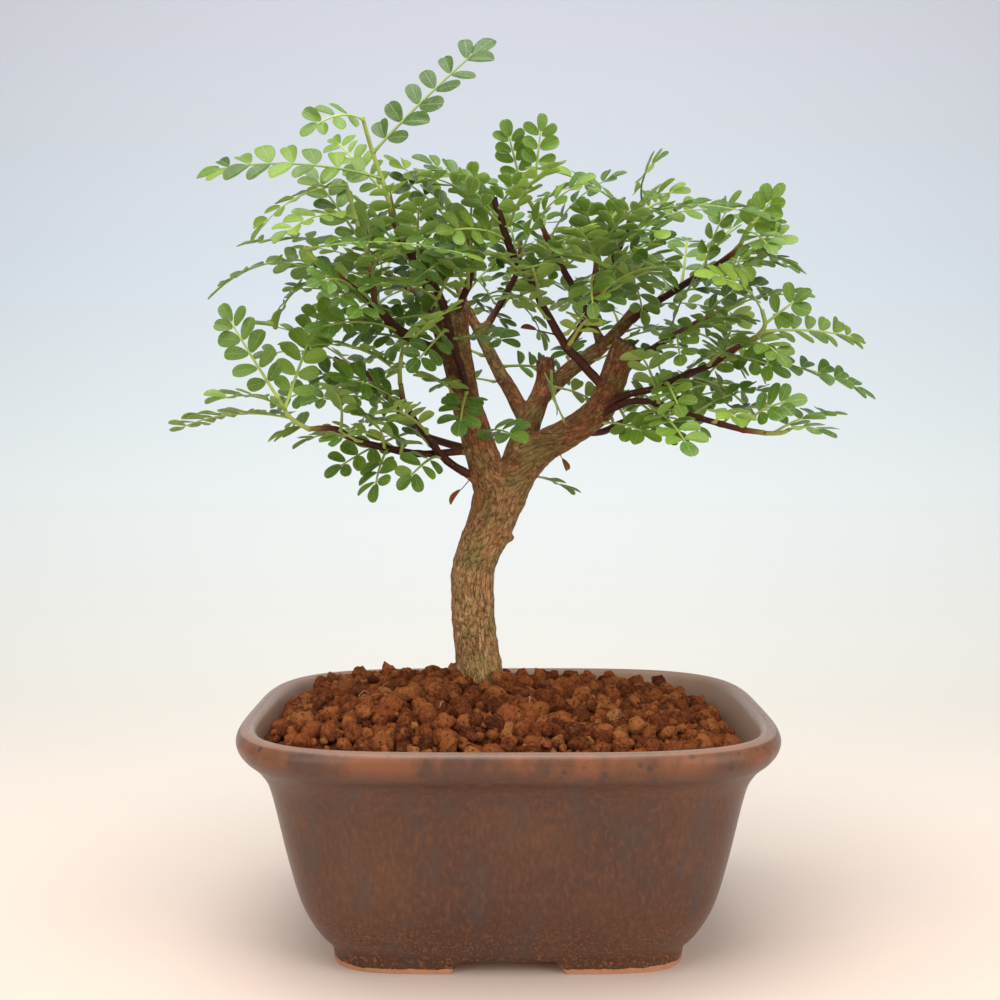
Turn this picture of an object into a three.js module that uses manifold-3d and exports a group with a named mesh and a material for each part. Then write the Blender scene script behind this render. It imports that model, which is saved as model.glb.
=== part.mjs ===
// Chinese pepper bonsai, a small pinnate-leaved Zanthoxylum, in a brown glazed pot.
// Millimetres, +Z up. The origin is on the ground under the middle of the pot and -Y is the front.
import * as THREE from "three";
import { mergeVertices } from "three/addons/utils/BufferGeometryUtils.js";
import Module from "manifold-3d";

const wasm = await Module();
wasm.setup();

// Driving dimensions of the pot
const potWidth = 145;
const potDepth = 118;
const potHeight = 64;
const potSegments = 28;
const rimPower = 3.9;
const footPower = 5.8;
const footInset = 25;
const footWidth = 7;
const recessHeight = 4.5;
const floorHeight = 9.5;
const cutHeight = 3.5;
const drainRadius = 5.5;

// Wall outline from the foot to the lip: inset from the widest line of the rim, height
const outerWall = [
  [25, 0], [24.6, 4], [20.6, 9], [16.6, 17], [13.2, 29], [9.9, 43], [7.2, 50.5],
  [3.2, 55], [0, 60], [0.6, 62.8], [2.8, 64],
];
// Inside of the wall from the lip down to the floor
const innerWall = [[4.8, 62.6], [9.5, 51], [15, 38], [21, 15], [28, floorHeight]];

// Driving dimensions of the soil
const soilGap = 0.35;
const soilEdge = 59;
const soilMound = 10;
const moundInset = 9;
const soilLean = { x: -6, y: -3 };
const granulePitch = 9.5;
const granuleRise = 3.4;
const granuleSink = 1.5;
const holeGap = 0.35;

// Driving dimensions of the foliage
const bladeThick = 0.7;
const ribWidth = 1.2;
const leafletRoot = 1;
const leafletPitch = 7.5;
const leafletLong = 7.4;
const leafletSpacing = 0.78;
const leafStalk = 5.5;
const leafReach = 1.15;
const pathStep = 1.2;
const ribSpots = 12;
const stemNear = 8;
const bendTries = 80;
const bendStep = 0.085;
const crown = { x: 92, y: 54, z: 50, middle: [0, 2, 178] };

const vec = (p) => new THREE.Vector3(p[0], p[1], p[2]);
const up = new THREE.Vector3(0, 0, 1);

// A repeatable number from 0 to 1 for each whole number
function chance(k) {
  const value = Math.sin(k * 12.9898) * 43758.5453;
  return value - Math.floor(value);
}

function closedGeometry(points, triangles) {
  const geometry = new THREE.BufferGeometry();
  geometry.setAttribute("position", new THREE.Float32BufferAttribute(points.flatMap((p) => [p.x, p.y, p.z]), 3));
  geometry.setIndex(triangles.flat());
  return geometry;
}

function toSolid(geometry) {
  const bare = geometry.clone();
  bare.deleteAttribute("normal");
  bare.deleteAttribute("uv");
  const merged = mergeVertices(bare, 1e-4);
  return new wasm.Manifold(new wasm.Mesh({
    numProp: 3,
    vertProperties: new Float32Array(merged.attributes.position.array),
    triVerts: new Uint32Array(merged.index.array),
  }));
}

function toGeometry(solid) {
  const mesh = solid.getMesh();
  const geometry = new THREE.BufferGeometry();
  geometry.setAttribute("position", new THREE.Float32BufferAttribute(mesh.vertProperties, 3));
  geometry.setIndex(Array.from(mesh.triVerts));
  return geometry;
}

const join = (solids) => solids.reduce((all, next) => all.add(next));

// One level outline of the pot: a rounded rectangle that grows squarer towards the foot
function potOutline(inset, z, turn, scale = 1) {
  const power = footPower + (rimPower - footPower) * Math.min(z / potHeight, 1);
  const along = Math.cos(turn);
  const across = Math.sin(turn);
  return new THREE.Vector3(
    scale * (potWidth / 2 - inset) * Math.sign(along) * Math.abs(along) ** (2 / power),
    scale * (potDepth / 2 - inset) * Math.sign(across) * Math.abs(across) ** (2 / power),
    z,
  );
}

// Stacks outlines of equal length into a closed body, with a fan at each end
function stack(outlines, first, last) {
  const count = outlines[0].length;
  const points = outlines.flat();
  const triangles = [];
  for (let level = 0; level + 1 < outlines.length; level += 1) {
    for (let k = 0; k < count; k += 1) {
      const a = level * count + k;
      const b = level * count + (k + 1) % count;
      triangles.push([a, b, b + count], [a, b + count, a + count]);
    }
  }
  const top = (outlines.length - 1) * count;
  points.push(first, last);
  for (let k = 0; k < count; k += 1) {
    triangles.push([(k + 1) % count, k, points.length - 2]);
    triangles.push([top + k, top + (k + 1) % count, points.length - 1]);
  }
  return closedGeometry(points, triangles);
}

const potTurns = Array.from({ length: potSegments }, (_, k) => (k / potSegments) * 2 * Math.PI);
const potRing = (inset, z) => potTurns.map((turn) => potOutline(inset, z, turn));

// A trapezium right through under the pot, wider at the ground, that parts two feet
function footCut(bottomWidth, topWidth, alongX) {
  const shape = new THREE.Shape();
  shape.moveTo(-bottomWidth / 2 - 1, -1);
  shape.lineTo(bottomWidth / 2 + 1, -1);
  shape.lineTo(topWidth / 2, cutHeight);
  shape.lineTo(-topWidth / 2, cutHeight);
  const geometry = new THREE.ExtrudeGeometry(shape, { depth: potWidth, bevelEnabled: false });
  geometry.translate(0, 0, -potWidth / 2);
  geometry.rotateX(Math.PI / 2);
  if (alongX) geometry.rotateZ(Math.PI / 2);
  return toSolid(geometry);
}

function makePot() {
  const recess = [[footInset + footWidth + 1, recessHeight], [footInset + footWidth, 0]];
  const rings = [...recess, ...outerWall, ...innerWall].map(([inset, z]) => potRing(inset, z));
  const under = new THREE.Vector3(0, 0, recessHeight);
  const floor = new THREE.Vector3(0, 0, floorHeight);
  let pot = toSolid(stack(rings, under, floor));
  pot = pot.subtract(footCut(31, 24.5, false)).subtract(footCut(26, 19.5, true));
  for (const side of [-1, 1]) {
    const drain = new THREE.CylinderGeometry(drainRadius, drainRadius, 20, 12);
    drain.rotateX(Math.PI / 2);
    drain.translate(side * 20, 0, floorHeight);
    pot = pot.subtract(toSolid(drain));
  }
  return toGeometry(pot);
}

// The trunk, its branches and woody twigs: centre line points and the radius at each end or point
const limbs = {
  trunk: {
    points: [[-8, 15, 42], [-8, 15, 67], [-9, 15, 76], [-10, 14, 88], [-10, 13, 100], [-8, 12, 107],
      [-5, 12, 114], [-3, 12, 121], [-2, 12, 127]],
    radii: [5.2, 6.7, 6.3, 6.2, 6.2, 6.4, 6.8, 7.2, 6], sides: 12,
  },
  leftBranch: {
    points: [[-3, 12, 118], [-6, 9, 130], [-9, 7, 140], [-12, 5, 150], [-14, 3, 161], [-16, 2, 170], [-16, 2, 176]],
    radii: [5.4, 5, 4.6, 4.2, 4.3, 5.1, 4.9], sides: 8,
  },
  rightBranch: {
    points: [[-1, 12, 120], [3, 12, 129], [9, 10, 136], [16, 6, 140], [22, 3, 144], [26, 0, 148],
      [29, -2, 155], [31, -4, 162], [33, -5, 166]],
    radii: [5.4, 5.4, 4.8, 4.3, 4.2, 4.1, 3.9, 3.7, 3.5], sides: 8,
  },
  middleStub: {
    points: [[1, 12, 126], [6, 14, 143], [9, 16, 150], [11, 17, 156], [11, 17, 162]],
    radii: [4.6, 3.8, 3.1, 2.8, 2.8], sides: 8,
  },
  backRight: {
    points: [[9, 16, 150], [18, 22, 159], [24, 27, 163], [29, 32, 167], [34, 35, 172], [40, 37, 180]],
    radii: [2.6, 2.5, 2.4, 2.2, 1.9, 1.4], sides: 6,
  },
  innerLeft: {
    points: [[6, 14, 143], [1, 19, 153], [-2, 22, 158], [-5, 25, 164], [-8, 28, 170], [-12, 32, 178], [-16, 36, 187]],
    radii: [2.6, 2.3, 2.1, 1.9, 1.7, 1.4, 1], sides: 6,
  },
  twigWest: {
    points: [[-15, 1, 163], [-20, -5, 164], [-24, -9, 165], [-30, -15, 169], [-35, -20, 174], [-41, -26, 179],
      [-46, -31, 183]],
    radii: [1.8, 1.6, 1.5, 1.3, 1.1, 0.9, 0.7], sides: 5,
  },
  twigWestFork: {
    points: [[-35, -20, 174], [-36, -19, 181], [-37, -18, 187]],
    radii: [0.9, 0.8, 0.7], sides: 4,
  },
  twigFront: {
    points: [[-10, 3, 148], [-13, -4, 158], [-16, -8, 169], [-19, -12, 179], [-26, -17, 188], [-30, -20, 196],
      [-31, -21, 200]],
    radii: [1.4, 1.2, 1.1, 1.1, 1, 0.9, 0.8], sides: 5,
  },
  twigLowMiddle: {
    points: [[-8, 8, 127], [-17, 0, 133], [-23, -7, 141], [-28, -12, 149], [-29, -14, 154]],
    radii: [1.2, 1.1, 0.9, 0.8, 0.7], sides: 4,
  },
  twigLowWest: {
    points: [[-9, 7, 136], [-22, -2, 135], [-30, -8, 136], [-41, -16, 139], [-46, -20, 142], [-52, -24, 142]],
    radii: [1.2, 1, 1, 0.9, 0.8, 0.7], sides: 4,
  },
  twigBackWest: {
    points: [[-8, 8, 135], [-24, 11, 140], [-30, 15, 145], [-34, 18, 150], [-38, 21, 154], [-43, 25, 159],
      [-52, 30, 163]],
    radii: [1.2, 1.1, 1, 0.9, 0.9, 0.8, 0.7], sides: 4,
  },
  twigRise: {
    points: [[28, -2, 152], [20, -9, 160], [16, -12, 164], [10, -17, 173], [6, -20, 181], [1, -22, 188],
      [-2, -24, 197], [-4, -24, 202]],
    radii: [1.3, 1.3, 1.2, 1.1, 1, 1, 0.9, 0.8], sides: 5,
  },
  twigEast: {
    points: [[16, -12, 164], [20, -16, 170], [23, -19, 176], [25, -14, 182], [28, -9, 187], [31, -11, 193],
      [33, -13, 198], [37, -14, 204]],
    radii: [1.2, 1.1, 1.1, 0.9, 0.9, 0.8, 0.8, 0.7], sides: 5,
  },
  twigEastFork: {
    points: [[23, -19, 176], [23, -20, 183], [23, -21, 188]],
    radii: [0.9, 0.8, 0.7], sides: 4,
  },
  twigRight: {
    points: [[24, 1, 146], [32, -7, 151], [40, -12, 153], [49, -16, 157], [54, -18, 159], [58, -20, 162],
      [65, -22, 166]],
    radii: [1.2, 1, 0.9, 0.9, 0.8, 0.8, 0.7], sides: 4,
  },
  twigRightLow: {
    points: [[22, 2, 143], [32, -8, 149], [39, -14, 149], [47, -20, 146], [53, -24, 144], [60, -28, 142],
      [66, -30, 141]],
    radii: [1.1, 0.9, 0.9, 0.9, 0.8, 0.8, 0.7], sides: 4,
  },
  twigRightBack: {
    points: [[18, 6, 141], [27, 12, 141], [34, 18, 144], [46, 27, 148], [58, 33, 154]],
    radii: [1.1, 1, 0.9, 0.8, 0.7], sides: 4,
  },
  twigRightRise: {
    points: [[30, -3, 157], [40, -3, 164], [50, 2, 170], [60, 7, 175]],
    radii: [1.2, 1, 0.9, 0.7], sides: 4,
  },
  twigCrest: {
    points: [[34, 35, 172], [42, 26, 178], [52, 8, 184], [59, -6, 188], [62, -13, 191]],
    radii: [1.3, 1.1, 1, 0.8, 0.7], sides: 4,
  },
  twigTop: {
    points: [[29, 32, 167], [22, 28, 180], [14, 20, 193], [9, 14, 202]],
    radii: [1.2, 1.1, 0.9, 0.7], sides: 4,
  },
  twigBackLeft: {
    points: [[-15, 4, 168], [-22, 14, 176], [-30, 24, 184], [-38, 31, 190]],
    radii: [1.3, 1.1, 0.9, 0.7], sides: 4,
  },
  twigBackMiddle: {
    points: [[-8, 28, 170], [-2, 34, 180], [3, 36, 190], [4, 35, 199]],
    radii: [1.2, 1, 0.9, 0.7], sides: 4,
  },
  twigCentre: {
    points: [[-16, 1, 171], [-11, -6, 181], [-10, -9, 190], [-13, -8, 199]],
    radii: [1.2, 1, 0.9, 0.7], sides: 4,
  },
};

// A closed tapered tube whose rings sit at the given points
function sweep(points, radii, sides) {
  const path = points.map(vec);
  const rings = [];
  let side = new THREE.Vector3(1, 0, 0);
  path.forEach((point, k) => {
    const before = path[Math.max(k - 1, 0)];
    const after = path[Math.min(k + 1, path.length - 1)];
    const along = after.clone().sub(before).normalize();
    side = side.clone().addScaledVector(along, -side.dot(along));
    if (side.length() < 0.1) side = new THREE.Vector3(0, 1, 0).addScaledVector(along, -along.y);
    side.normalize();
    const other = along.clone().cross(side);
    rings.push(Array.from({ length: sides }, (_, n) => {
      const turn = (n / sides) * 2 * Math.PI;
      return point.clone()
        .addScaledVector(side, radii[k] * Math.cos(turn))
        .addScaledVector(other, radii[k] * Math.sin(turn));
    }));
  });
  return toSolid(stack(rings, path[0].clone(), path[path.length - 1].clone()));
}

function makeWood() {
  return toGeometry(join(Object.values(limbs).map((limb) => sweep(limb.points, limb.radii, limb.sides))));
}

// Height of the bed of soil: mounded round the trunk and lower towards the back and right edges
function soilHeight(x, y) {
  const edge = Math.max(Math.abs(x) / (potWidth / 2 - moundInset), Math.abs(y) / (potDepth / 2 - moundInset));
  const mound = Math.max(0, 1 - edge ** 3);
  const lean = soilLean.x * (x / potWidth) + soilLean.y * (y / potDepth);
  return soilEdge + lean + soilMound * mound;
}

// A sheet of low pointed lumps on a six-sided pattern: each lump's top stands among six low spots
function granuleSheet() {
  const pitch = granulePitch / Math.sqrt(3);
  const rows = Math.ceil(potDepth / 2 / (0.866 * pitch));
  const columns = Math.ceil(potWidth / 2 / pitch) + 1;
  const points = [];
  const triangles = [];
  const spot = (column, row) => (row + rows) * (2 * columns + 1) + column + columns;
  for (let row = -rows; row <= rows; row += 1) {
    for (let column = -columns; column <= columns; column += 1) {
      const k = spot(column, row);
      const shift = Math.abs(row) % 2;
      const x = (column + shift / 2 + 0.3 * (chance(k) - 0.5)) * pitch;
      const y = (row * 0.866 + 0.3 * (chance(k + 0.5) - 0.5)) * pitch;
      const isTop = (column - (row - shift) / 2 - row * 2 + 300) % 3 === 0;
      const rise = isTop ? granuleRise * (0.5 + 0.7 * chance(k + 0.2)) : 0.8 * chance(k + 0.7);
      points.push(new THREE.Vector3(x, y, soilHeight(x, y) - granuleSink + rise));
      if (row === rows || column === columns) continue;
      const [a, b, c, d] = [k, k + 1, spot(column, row + 1), spot(column + 1, row + 1)];
      if (shift) triangles.push([a, b, d], [a, d, c]);
      else triangles.push([a, b, c], [b, d, c]);
    }
  }
  return { points, triangles };
}

// The sheet closed downwards into a block that the pot's inside then trims
function granuleBlock() {
  const { points, triangles } = granuleSheet();
  const count = points.length;
  const edges = new Set(triangles.flatMap(([a, b, c]) => [`${a},${b}`, `${b},${c}`, `${c},${a}`]));
  const faces = triangles.flatMap(([a, b, c]) => [[a, b, c], [a + count, c + count, b + count]]);
  for (const edge of edges) {
    const [a, b] = edge.split(",").map(Number);
    if (!edges.has(`${b},${a}`)) faces.push([b, a, a + count], [b, a + count, b + count]);
  }
  const low = points.map((p) => new THREE.Vector3(p.x, p.y, 0));
  return toSolid(closedGeometry([...points, ...low], faces));
}

function makeSoil() {
  const inside = [[28, floorHeight], [21, 15], [15, 38], [9.5, 51], [5.9, 60], [5, 62], [5, 90]];
  const rings = inside.map(([inset, z]) => potRing(inset + 1.5 * soilGap, z + soilGap));
  const floor = new THREE.Vector3(0, 0, floorHeight + soilGap);
  const fill = toSolid(stack(rings, floor, new THREE.Vector3(0, 0, 90 + soilGap)));
  const hole = sweep(
    [[-8, 15, 41], [-8, 15, 67], [-8.8, 15, 74], [-9.6, 14.4, 84]],
    [5.2 + holeGap, 6.7 + holeGap, 6.5 + holeGap, 6.4 + holeGap],
    limbs.trunk.sides,
  );
  return toGeometry(granuleBlock().intersect(fill).subtract(hole));
}

// Where a leaf springs from: a place on a limb, a share of its length from the start
function pointOn(points, share) {
  const path = points.map(vec);
  const steps = path.slice(1).map((p, k) => p.distanceTo(path[k]));
  let left = share * steps.reduce((sum, step) => sum + step, 0);
  let k = 0;
  while (k < steps.length - 1 && left > steps[k]) {
    left -= steps[k];
    k += 1;
  }
  const along = path[k + 1].clone().sub(path[k]).normalize();
  return path[k].clone().addScaledVector(along, left);
}

// The curved rib of a leaf and the blade's own directions at any share of its length
function ribFrame(leaf, t) {
  const reach = leaf.tip.clone().sub(leaf.base);
  const face = leaf.face.clone().addScaledVector(reach, -leaf.face.dot(reach) / reach.lengthSq()).normalize();
  const bend = leaf.base.clone().addScaledVector(reach, 0.5).addScaledVector(face, 2 * leaf.rise);
  const point = leaf.base.clone().multiplyScalar((1 - t) ** 2)
    .addScaledVector(bend, 2 * t * (1 - t))
    .addScaledVector(leaf.tip, t ** 2);
  const along = bend.clone().sub(leaf.base).multiplyScalar(1 - t)
    .addScaledVector(leaf.tip.clone().sub(bend), t)
    .normalize();
  const normal = face.addScaledVector(along, -face.dot(along)).normalize();
  return { point, along, normal, across: along.clone().cross(normal) };
}

// Shares of the rib where its pairs of leaflets spring, and where the end leaflet starts
function leafStations(leaf) {
  const length = leaf.tip.distanceTo(leaf.base);
  const last = 1 - leaf.leaflet / length;
  const first = Math.min(0.3, leaf.stalk / length);
  const pairs = Array.from({ length: leaf.pairs }, (_, k) => first + (last - 0.04 - first) * k / (leaf.pairs - 1));
  return { length, last, pairs };
}

// The direction and size of one leaflet on side +1 or -1 of the rib
function leafletFrame(leaf, k, t, side) {
  const frame = ribFrame(leaf, t);
  const forward = 0.42 + 0.22 * k / leaf.pairs;
  const out = frame.across.clone().multiplyScalar(side * Math.cos(leaf.fold))
    .addScaledVector(frame.normal, Math.sin(leaf.fold));
  const normal = frame.normal.clone().multiplyScalar(Math.cos(leaf.fold))
    .addScaledVector(frame.across, -side * Math.sin(leaf.fold));
  const along = out.clone().multiplyScalar(Math.cos(forward)).addScaledVector(frame.along, Math.sin(forward));
  const length = leaf.leaflet * (0.76 + 0.24 * Math.sin(Math.PI * (k + 0.9) / (leaf.pairs + 0.8)));
  const root = frame.point.clone().addScaledVector(frame.across, side * ribWidth / 2);
  return { root, along, normal, across: along.clone().cross(normal), length, width: length * leaf.wide };
}

// Closes an open sheet of triangles into a plate of the blade's thickness
function thicken(points, normals, triangles) {
  const count = points.length;
  const all = [
    ...points.map((p, k) => p.clone().addScaledVector(normals[k], bladeThick / 2)),
    ...points.map((p, k) => p.clone().addScaledVector(normals[k], -bladeThick / 2)),
  ];
  const faces = [];
  const edges = new Set();
  for (const [a, b, c] of triangles) {
    faces.push([a, b, c], [a + count, c + count, b + count]);
    for (const edge of [[a, b], [b, c], [c, a]]) edges.add(edge.join());
  }
  for (const edge of edges) {
    const [a, b] = edge.split(",").map(Number);
    if (!edges.has([b, a].join())) faces.push([b, a, a + count], [b, a + count, b + count]);
  }
  return closedGeometry(all, faces);
}

// One compound leaf as a thin plate: the rib with its leaflets cut apart down to it
function leafPlate(leaf) {
  const { length, last, pairs } = leafStations(leaf);
  const points = [];
  const normals = [];
  const triangles = [];
  const add = (point, normal) => points.push(point) && normals.push(normal) && points.length - 1;
  const ribRow = (t) => {
    const { point, across, normal } = ribFrame(leaf, t);
    const left = add(point.clone().addScaledVector(across, -ribWidth / 2), normal);
    const right = add(point.clone().addScaledVector(across, ribWidth / 2), normal);
    return [left, right];
  };
  const span = (low, high) => triangles.push([low[0], low[1], high[1]], [low[0], high[1], high[0]]);
  const half = leafletRoot / 2 / length;
  let row = ribRow(0);
  pairs.forEach((t, k) => {
    const low = ribRow(t - half);
    const high = ribRow(t + half);
    span(row, low);
    span(low, high);
    for (const side of [-1, 1]) {
      const blade = leafletFrame(leaf, k, t, side);
      const shoulder = (turn) => add(
        blade.root.clone().addScaledVector(blade.along, 0.58 * blade.length)
          .addScaledVector(blade.across, turn * blade.width / 2),
        blade.normal,
      );
      const tip = add(blade.root.clone().addScaledVector(blade.along, blade.length), blade.normal);
      const rear = shoulder(side);
      const fore = shoulder(-side);
      const [lowEdge, highEdge] = side > 0 ? [low[1], high[1]] : [low[0], high[0]];
      const sheet = [[lowEdge, rear, tip], [lowEdge, tip, fore], [lowEdge, fore, highEdge]];
      sheet.forEach(([a, b, c]) => triangles.push(side > 0 ? [a, b, c] : [a, c, b]));
    }
    row = high;
  });
  const end = ribRow(last);
  span(row, end);
  const frame = ribFrame(leaf, last);
  const endWidth = leaf.leaflet * leaf.wide;
  const endPoint = (share, turn) => add(
    frame.point.clone().addScaledVector(frame.along, share * leaf.leaflet)
      .addScaledVector(frame.across, turn * endWidth / 2),
    frame.normal,
  );
  const left = endPoint(0.58, -1);
  const right = endPoint(0.58, 1);
  const tip = endPoint(1, 0);
  triangles.push([end[0], end[1], right], [end[0], right, tip], [end[0], tip, left]);
  return toSolid(thicken(points, normals, triangles));
}

// Sample spots over a leaf, along its rib and on its leaflets
function leafSpots(leaf) {
  const { last, pairs } = leafStations(leaf);
  const spots = Array.from({ length: ribSpots }, (_, k) => ribFrame(leaf, last * (k + 1) / ribSpots).point);
  pairs.forEach((t, k) => {
    for (const side of [-1, 1]) {
      const blade = leafletFrame(leaf, k, t, side);
      for (const [share, turn] of [[0.35, 0], [0.7, 0], [1, 0], [0.58, -0.8], [0.58, 0.8]]) {
        spots.push(blade.root.clone().addScaledVector(blade.along, share * blade.length)
          .addScaledVector(blade.across, turn * blade.width / 2));
      }
    }
  });
  const frame = ribFrame(leaf, last);
  for (const [share, turn] of [[0.35, 0], [0.7, 0], [1, 0], [0.58, -0.8], [0.58, 0.8]]) {
    spots.push(frame.point.clone().addScaledVector(frame.along, share * leaf.leaflet)
      .addScaledVector(frame.across, turn * leaf.leaflet * leaf.wide / 2));
  }
  return spots;
}

// Everything that a new leaf has to stay clear of
const obstacles = [];

function addPath(points, radii, owner) {
  for (let k = 0; k + 1 < points.length; k += 1) {
    const [a, b] = [vec(points[k]), vec(points[k + 1])];
    const steps = Math.ceil(a.distanceTo(b) / pathStep);
    for (let n = 0; n <= steps; n += 1) {
      obstacles.push({ spot: a.clone().lerp(b, n / steps), reach: radii[k] + 0.3, owner });
    }
  }
}

// The least room round a leaf; it stops looking once there is less than enough
function clearance(leaf, near, enough) {
  let least = Infinity;
  for (const spot of leafSpots(leaf)) {
    for (const other of near) {
      least = Math.min(least, spot.distanceTo(other.spot) - other.reach - leafReach);
      if (least < enough) return least;
    }
  }
  return least;
}

// Turns a leaf about its base a little further each try, until it is clear of its neighbours
function bendClear(leaf, owner) {
  const reach = leaf.tip.clone().sub(leaf.base);
  const side = up.clone().cross(reach).normalize();
  const near = obstacles.filter((other) => {
    const apart = other.spot.distanceTo(leaf.base);
    return apart > (other.owner === owner ? stemNear : 0) && apart < reach.length() + 12;
  });
  let best = leaf;
  let most = -Infinity;
  for (let k = 0; k < bendTries && most < 0; k += 1) {
    const swing = bendStep * Math.sqrt(k);
    const yaw = swing * Math.cos(k * 2.4);
    const pitch = swing * Math.sin(k * 2.4);
    const turned = (v) => v.clone().applyAxisAngle(side, pitch).applyAxisAngle(up, yaw);
    const tried = { ...leaf, tip: leaf.base.clone().add(turned(reach)), face: turned(leaf.face) };
    const room = clearance(tried, near, most);
    if (room > most) [best, most] = [tried, room];
  }
  for (const spot of leafSpots(best)) obstacles.push({ spot, reach: leafReach, owner });
  return best;
}

// Leafy shoots placed one by one: a green stem, and leaves given by the place on the stem or on a
// twig, the tip, the way the upper side faces, the rise of the middle, pairs and leaflet length
const shoots = {
  shoot_crown_peak: {
    stem: [[-31.2, -21, 201], [-33, -20.5, 207], [-35.8, -20.5, 215], [-38, -22, 223]],
    leaves: [
      { at: 0.6, tip: [-4, -10, 247], face: [-0.44, -0.82, 0.34], rise: 1, pairs: 5, leaflet: 8, tone: "dark" },
      { at: 0.3, tip: [-84, -12, 210], face: [0.1, -0.7, 0.7], rise: 4, pairs: 6, leaflet: 7.4, tone: "dark" },
      { at: 0.97, tip: [-53, -33, 215], face: [-0.3, -0.9, 0.3], rise: 4, pairs: 3, leaflet: 5.6, tone: "young" },
      { at: 0.08, tip: [-49, 2, 223], face: [-0.2, -0.8, 0.5], rise: 1, pairs: 5, leaflet: 5.6, tone: "young" },
    ],
  },
  shoot_left_high: {
    stem: [[-37, -18, 187.5], [-39, -19, 193], [-41, -18, 200], [-43, -18, 207]],
    leaves: [
      { at: 0.96, tip: [-70, -31, 200], face: [0, -0.2, 1], rise: 4, pairs: 5, leaflet: 6, tone: "olive" },
      { at: 0.5, tip: [-65, -38, 194], face: [0, -0.3, 1], rise: 4, pairs: 5, leaflet: 6, tone: "olive" },
      { at: 0.15, tip: [-73, -14, 191], face: [0, -0.3, 1], rise: 2, pairs: 6, leaflet: 6, tone: "leaf" },
      { at: 0.1, tip: [-55, -4, 211], face: [0.2, -0.9, 0.3], rise: 1, pairs: 4, leaflet: 6.4, tone: "dark" },
    ],
  },
  shoot_left_middle: {
    stem: [[-46.4, -31.4, 183.2], [-49, -33, 185], [-52, -34, 188]],
    leaves: [
      { at: 0.3, tip: [-76, -37, 174], face: [0.1, -0.1, 1], rise: 4, pairs: 5, leaflet: 6.6, tone: "dark" },
      { at: 0.9, tip: [-6, -40, 184], face: [0, -0.4, 1], rise: 3, pairs: 7, leaflet: 5.6, tone: "leaf" },
    ],
  },
  shoot_left_low: {
    stem: [[-52.4, -24.3, 142], [-57, -25.5, 145], [-60, -26, 150]],
    leaves: [
      { at: 0.98, tip: [-76, -20, 175], face: [-0.2, -0.9, 0.2], rise: 1, pairs: 5, leaflet: 6.4, tone: "young" },
      { at: 0.72, tip: [-53, -15, 181], face: [0, -1, 0.1], rise: 1, pairs: 5, leaflet: 6.2, tone: "young" },
      { at: 0.45, tip: [-99, 20, 141], face: [0.1, 0, 1], rise: 3, pairs: 6, leaflet: 6.4, tone: "leaf" },
      { at: 0.7, tip: [-76, -46, 151], face: [0, -0.2, 1], rise: 3, pairs: 4, leaflet: 6, tone: "dark" },
    ],
  },
  shoot_low_middle: {
    stem: [[-29.1, -14.2, 154.5], [-29, -15, 159], [-28, -17, 164]],
    leaves: [
      { at: 0.2, tip: [-50, -38, 163], face: [0, -0.3, 1], rise: 3, pairs: 5, leaflet: 6, tone: "leaf" },
      { at: 0.75, tip: [-12, -44, 172], face: [0, -0.5, 0.8], rise: 2, pairs: 5, leaflet: 6, tone: "leaf" },
    ],
  },
  shoot_top_middle: {
    stem: [[8.8, 13.6, 202.5], [6.5, 9, 206], [4, 5, 209], [8, 1, 211]],
    leaves: [
      { at: 0.66, tip: [-1, 2, 228], face: [0, -1, 0.1], rise: 1, pairs: 4, leaflet: 5.2, tone: "young" },
      { at: 0.95, tip: [9.5, -1, 229], face: [0.1, -1, 0.1], rise: 1, pairs: 3, leaflet: 5.2, tone: "young" },
      { at: 0.4, tip: [-26, 2, 214], face: [0, -0.3, 1], rise: 2, pairs: 5, leaflet: 6, tone: "leaf" },
      { at: 0.2, tip: [22, 30, 214], face: [0, 0.2, 1], rise: 2, pairs: 4, leaflet: 6, tone: "leaf" },
    ],
  },
  shoot_crest: {
    stem: [[62.3, -13.5, 191.3], [63, -17, 194], [64, -20, 196]],
    leaves: [
      { at: 0.1, tip: [72, -22, 206], face: [-0.4, -0.9, 0.2], rise: 0.5, pairs: 4, leaflet: 5.6, tone: "young" },
      { at: 0.6, tip: [68, -36, 187], face: [0.1, -0.75, 0.65], rise: 1.5, pairs: 3, leaflet: 5.6, tone: "young" },
      { at: 0.95, tip: [74, 8, 198], face: [0.2, -0.2, 1], rise: 2, pairs: 4, leaflet: 6, tone: "leaf" },
    ],
  },
  shoot_right: {
    stem: [[65.3, -22.2, 166.3], [67, -24, 169], [66, -25, 173]],
    leaves: [
      { at: 0.9, tip: [46, -35, 180], face: [0.2, -0.6, 0.9], rise: 4, pairs: 4, leaflet: 7, tone: "olive" },
      { at: 0.5, tip: [77.5, -31, 177.5], face: [-0.2, -0.8, 0.4], rise: 0.5, pairs: 2, leaflet: 5.6, tone: "young" },
      { at: 0.2, tip: [98, -6, 166], face: [0.1, -0.75, 0.65], rise: 2, pairs: 5, leaflet: 6, tone: "olive" },
    ],
  },
  shoot_right_low: {
    stem: [[66.4, -30.1, 140.9], [70, -31.5, 141], [72, -33, 142]],
    leaves: [
      { at: 0.9, tip: [81, -44, 139], face: [0, -0.2, 1], rise: 2, pairs: 2, leaflet: 6, tone: "dark" },
      { at: 0.3, tip: [90, -14, 146], face: [0, -0.3, 1], rise: 2, pairs: 4, leaflet: 6, tone: "leaf" },
    ],
  },
};

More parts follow.
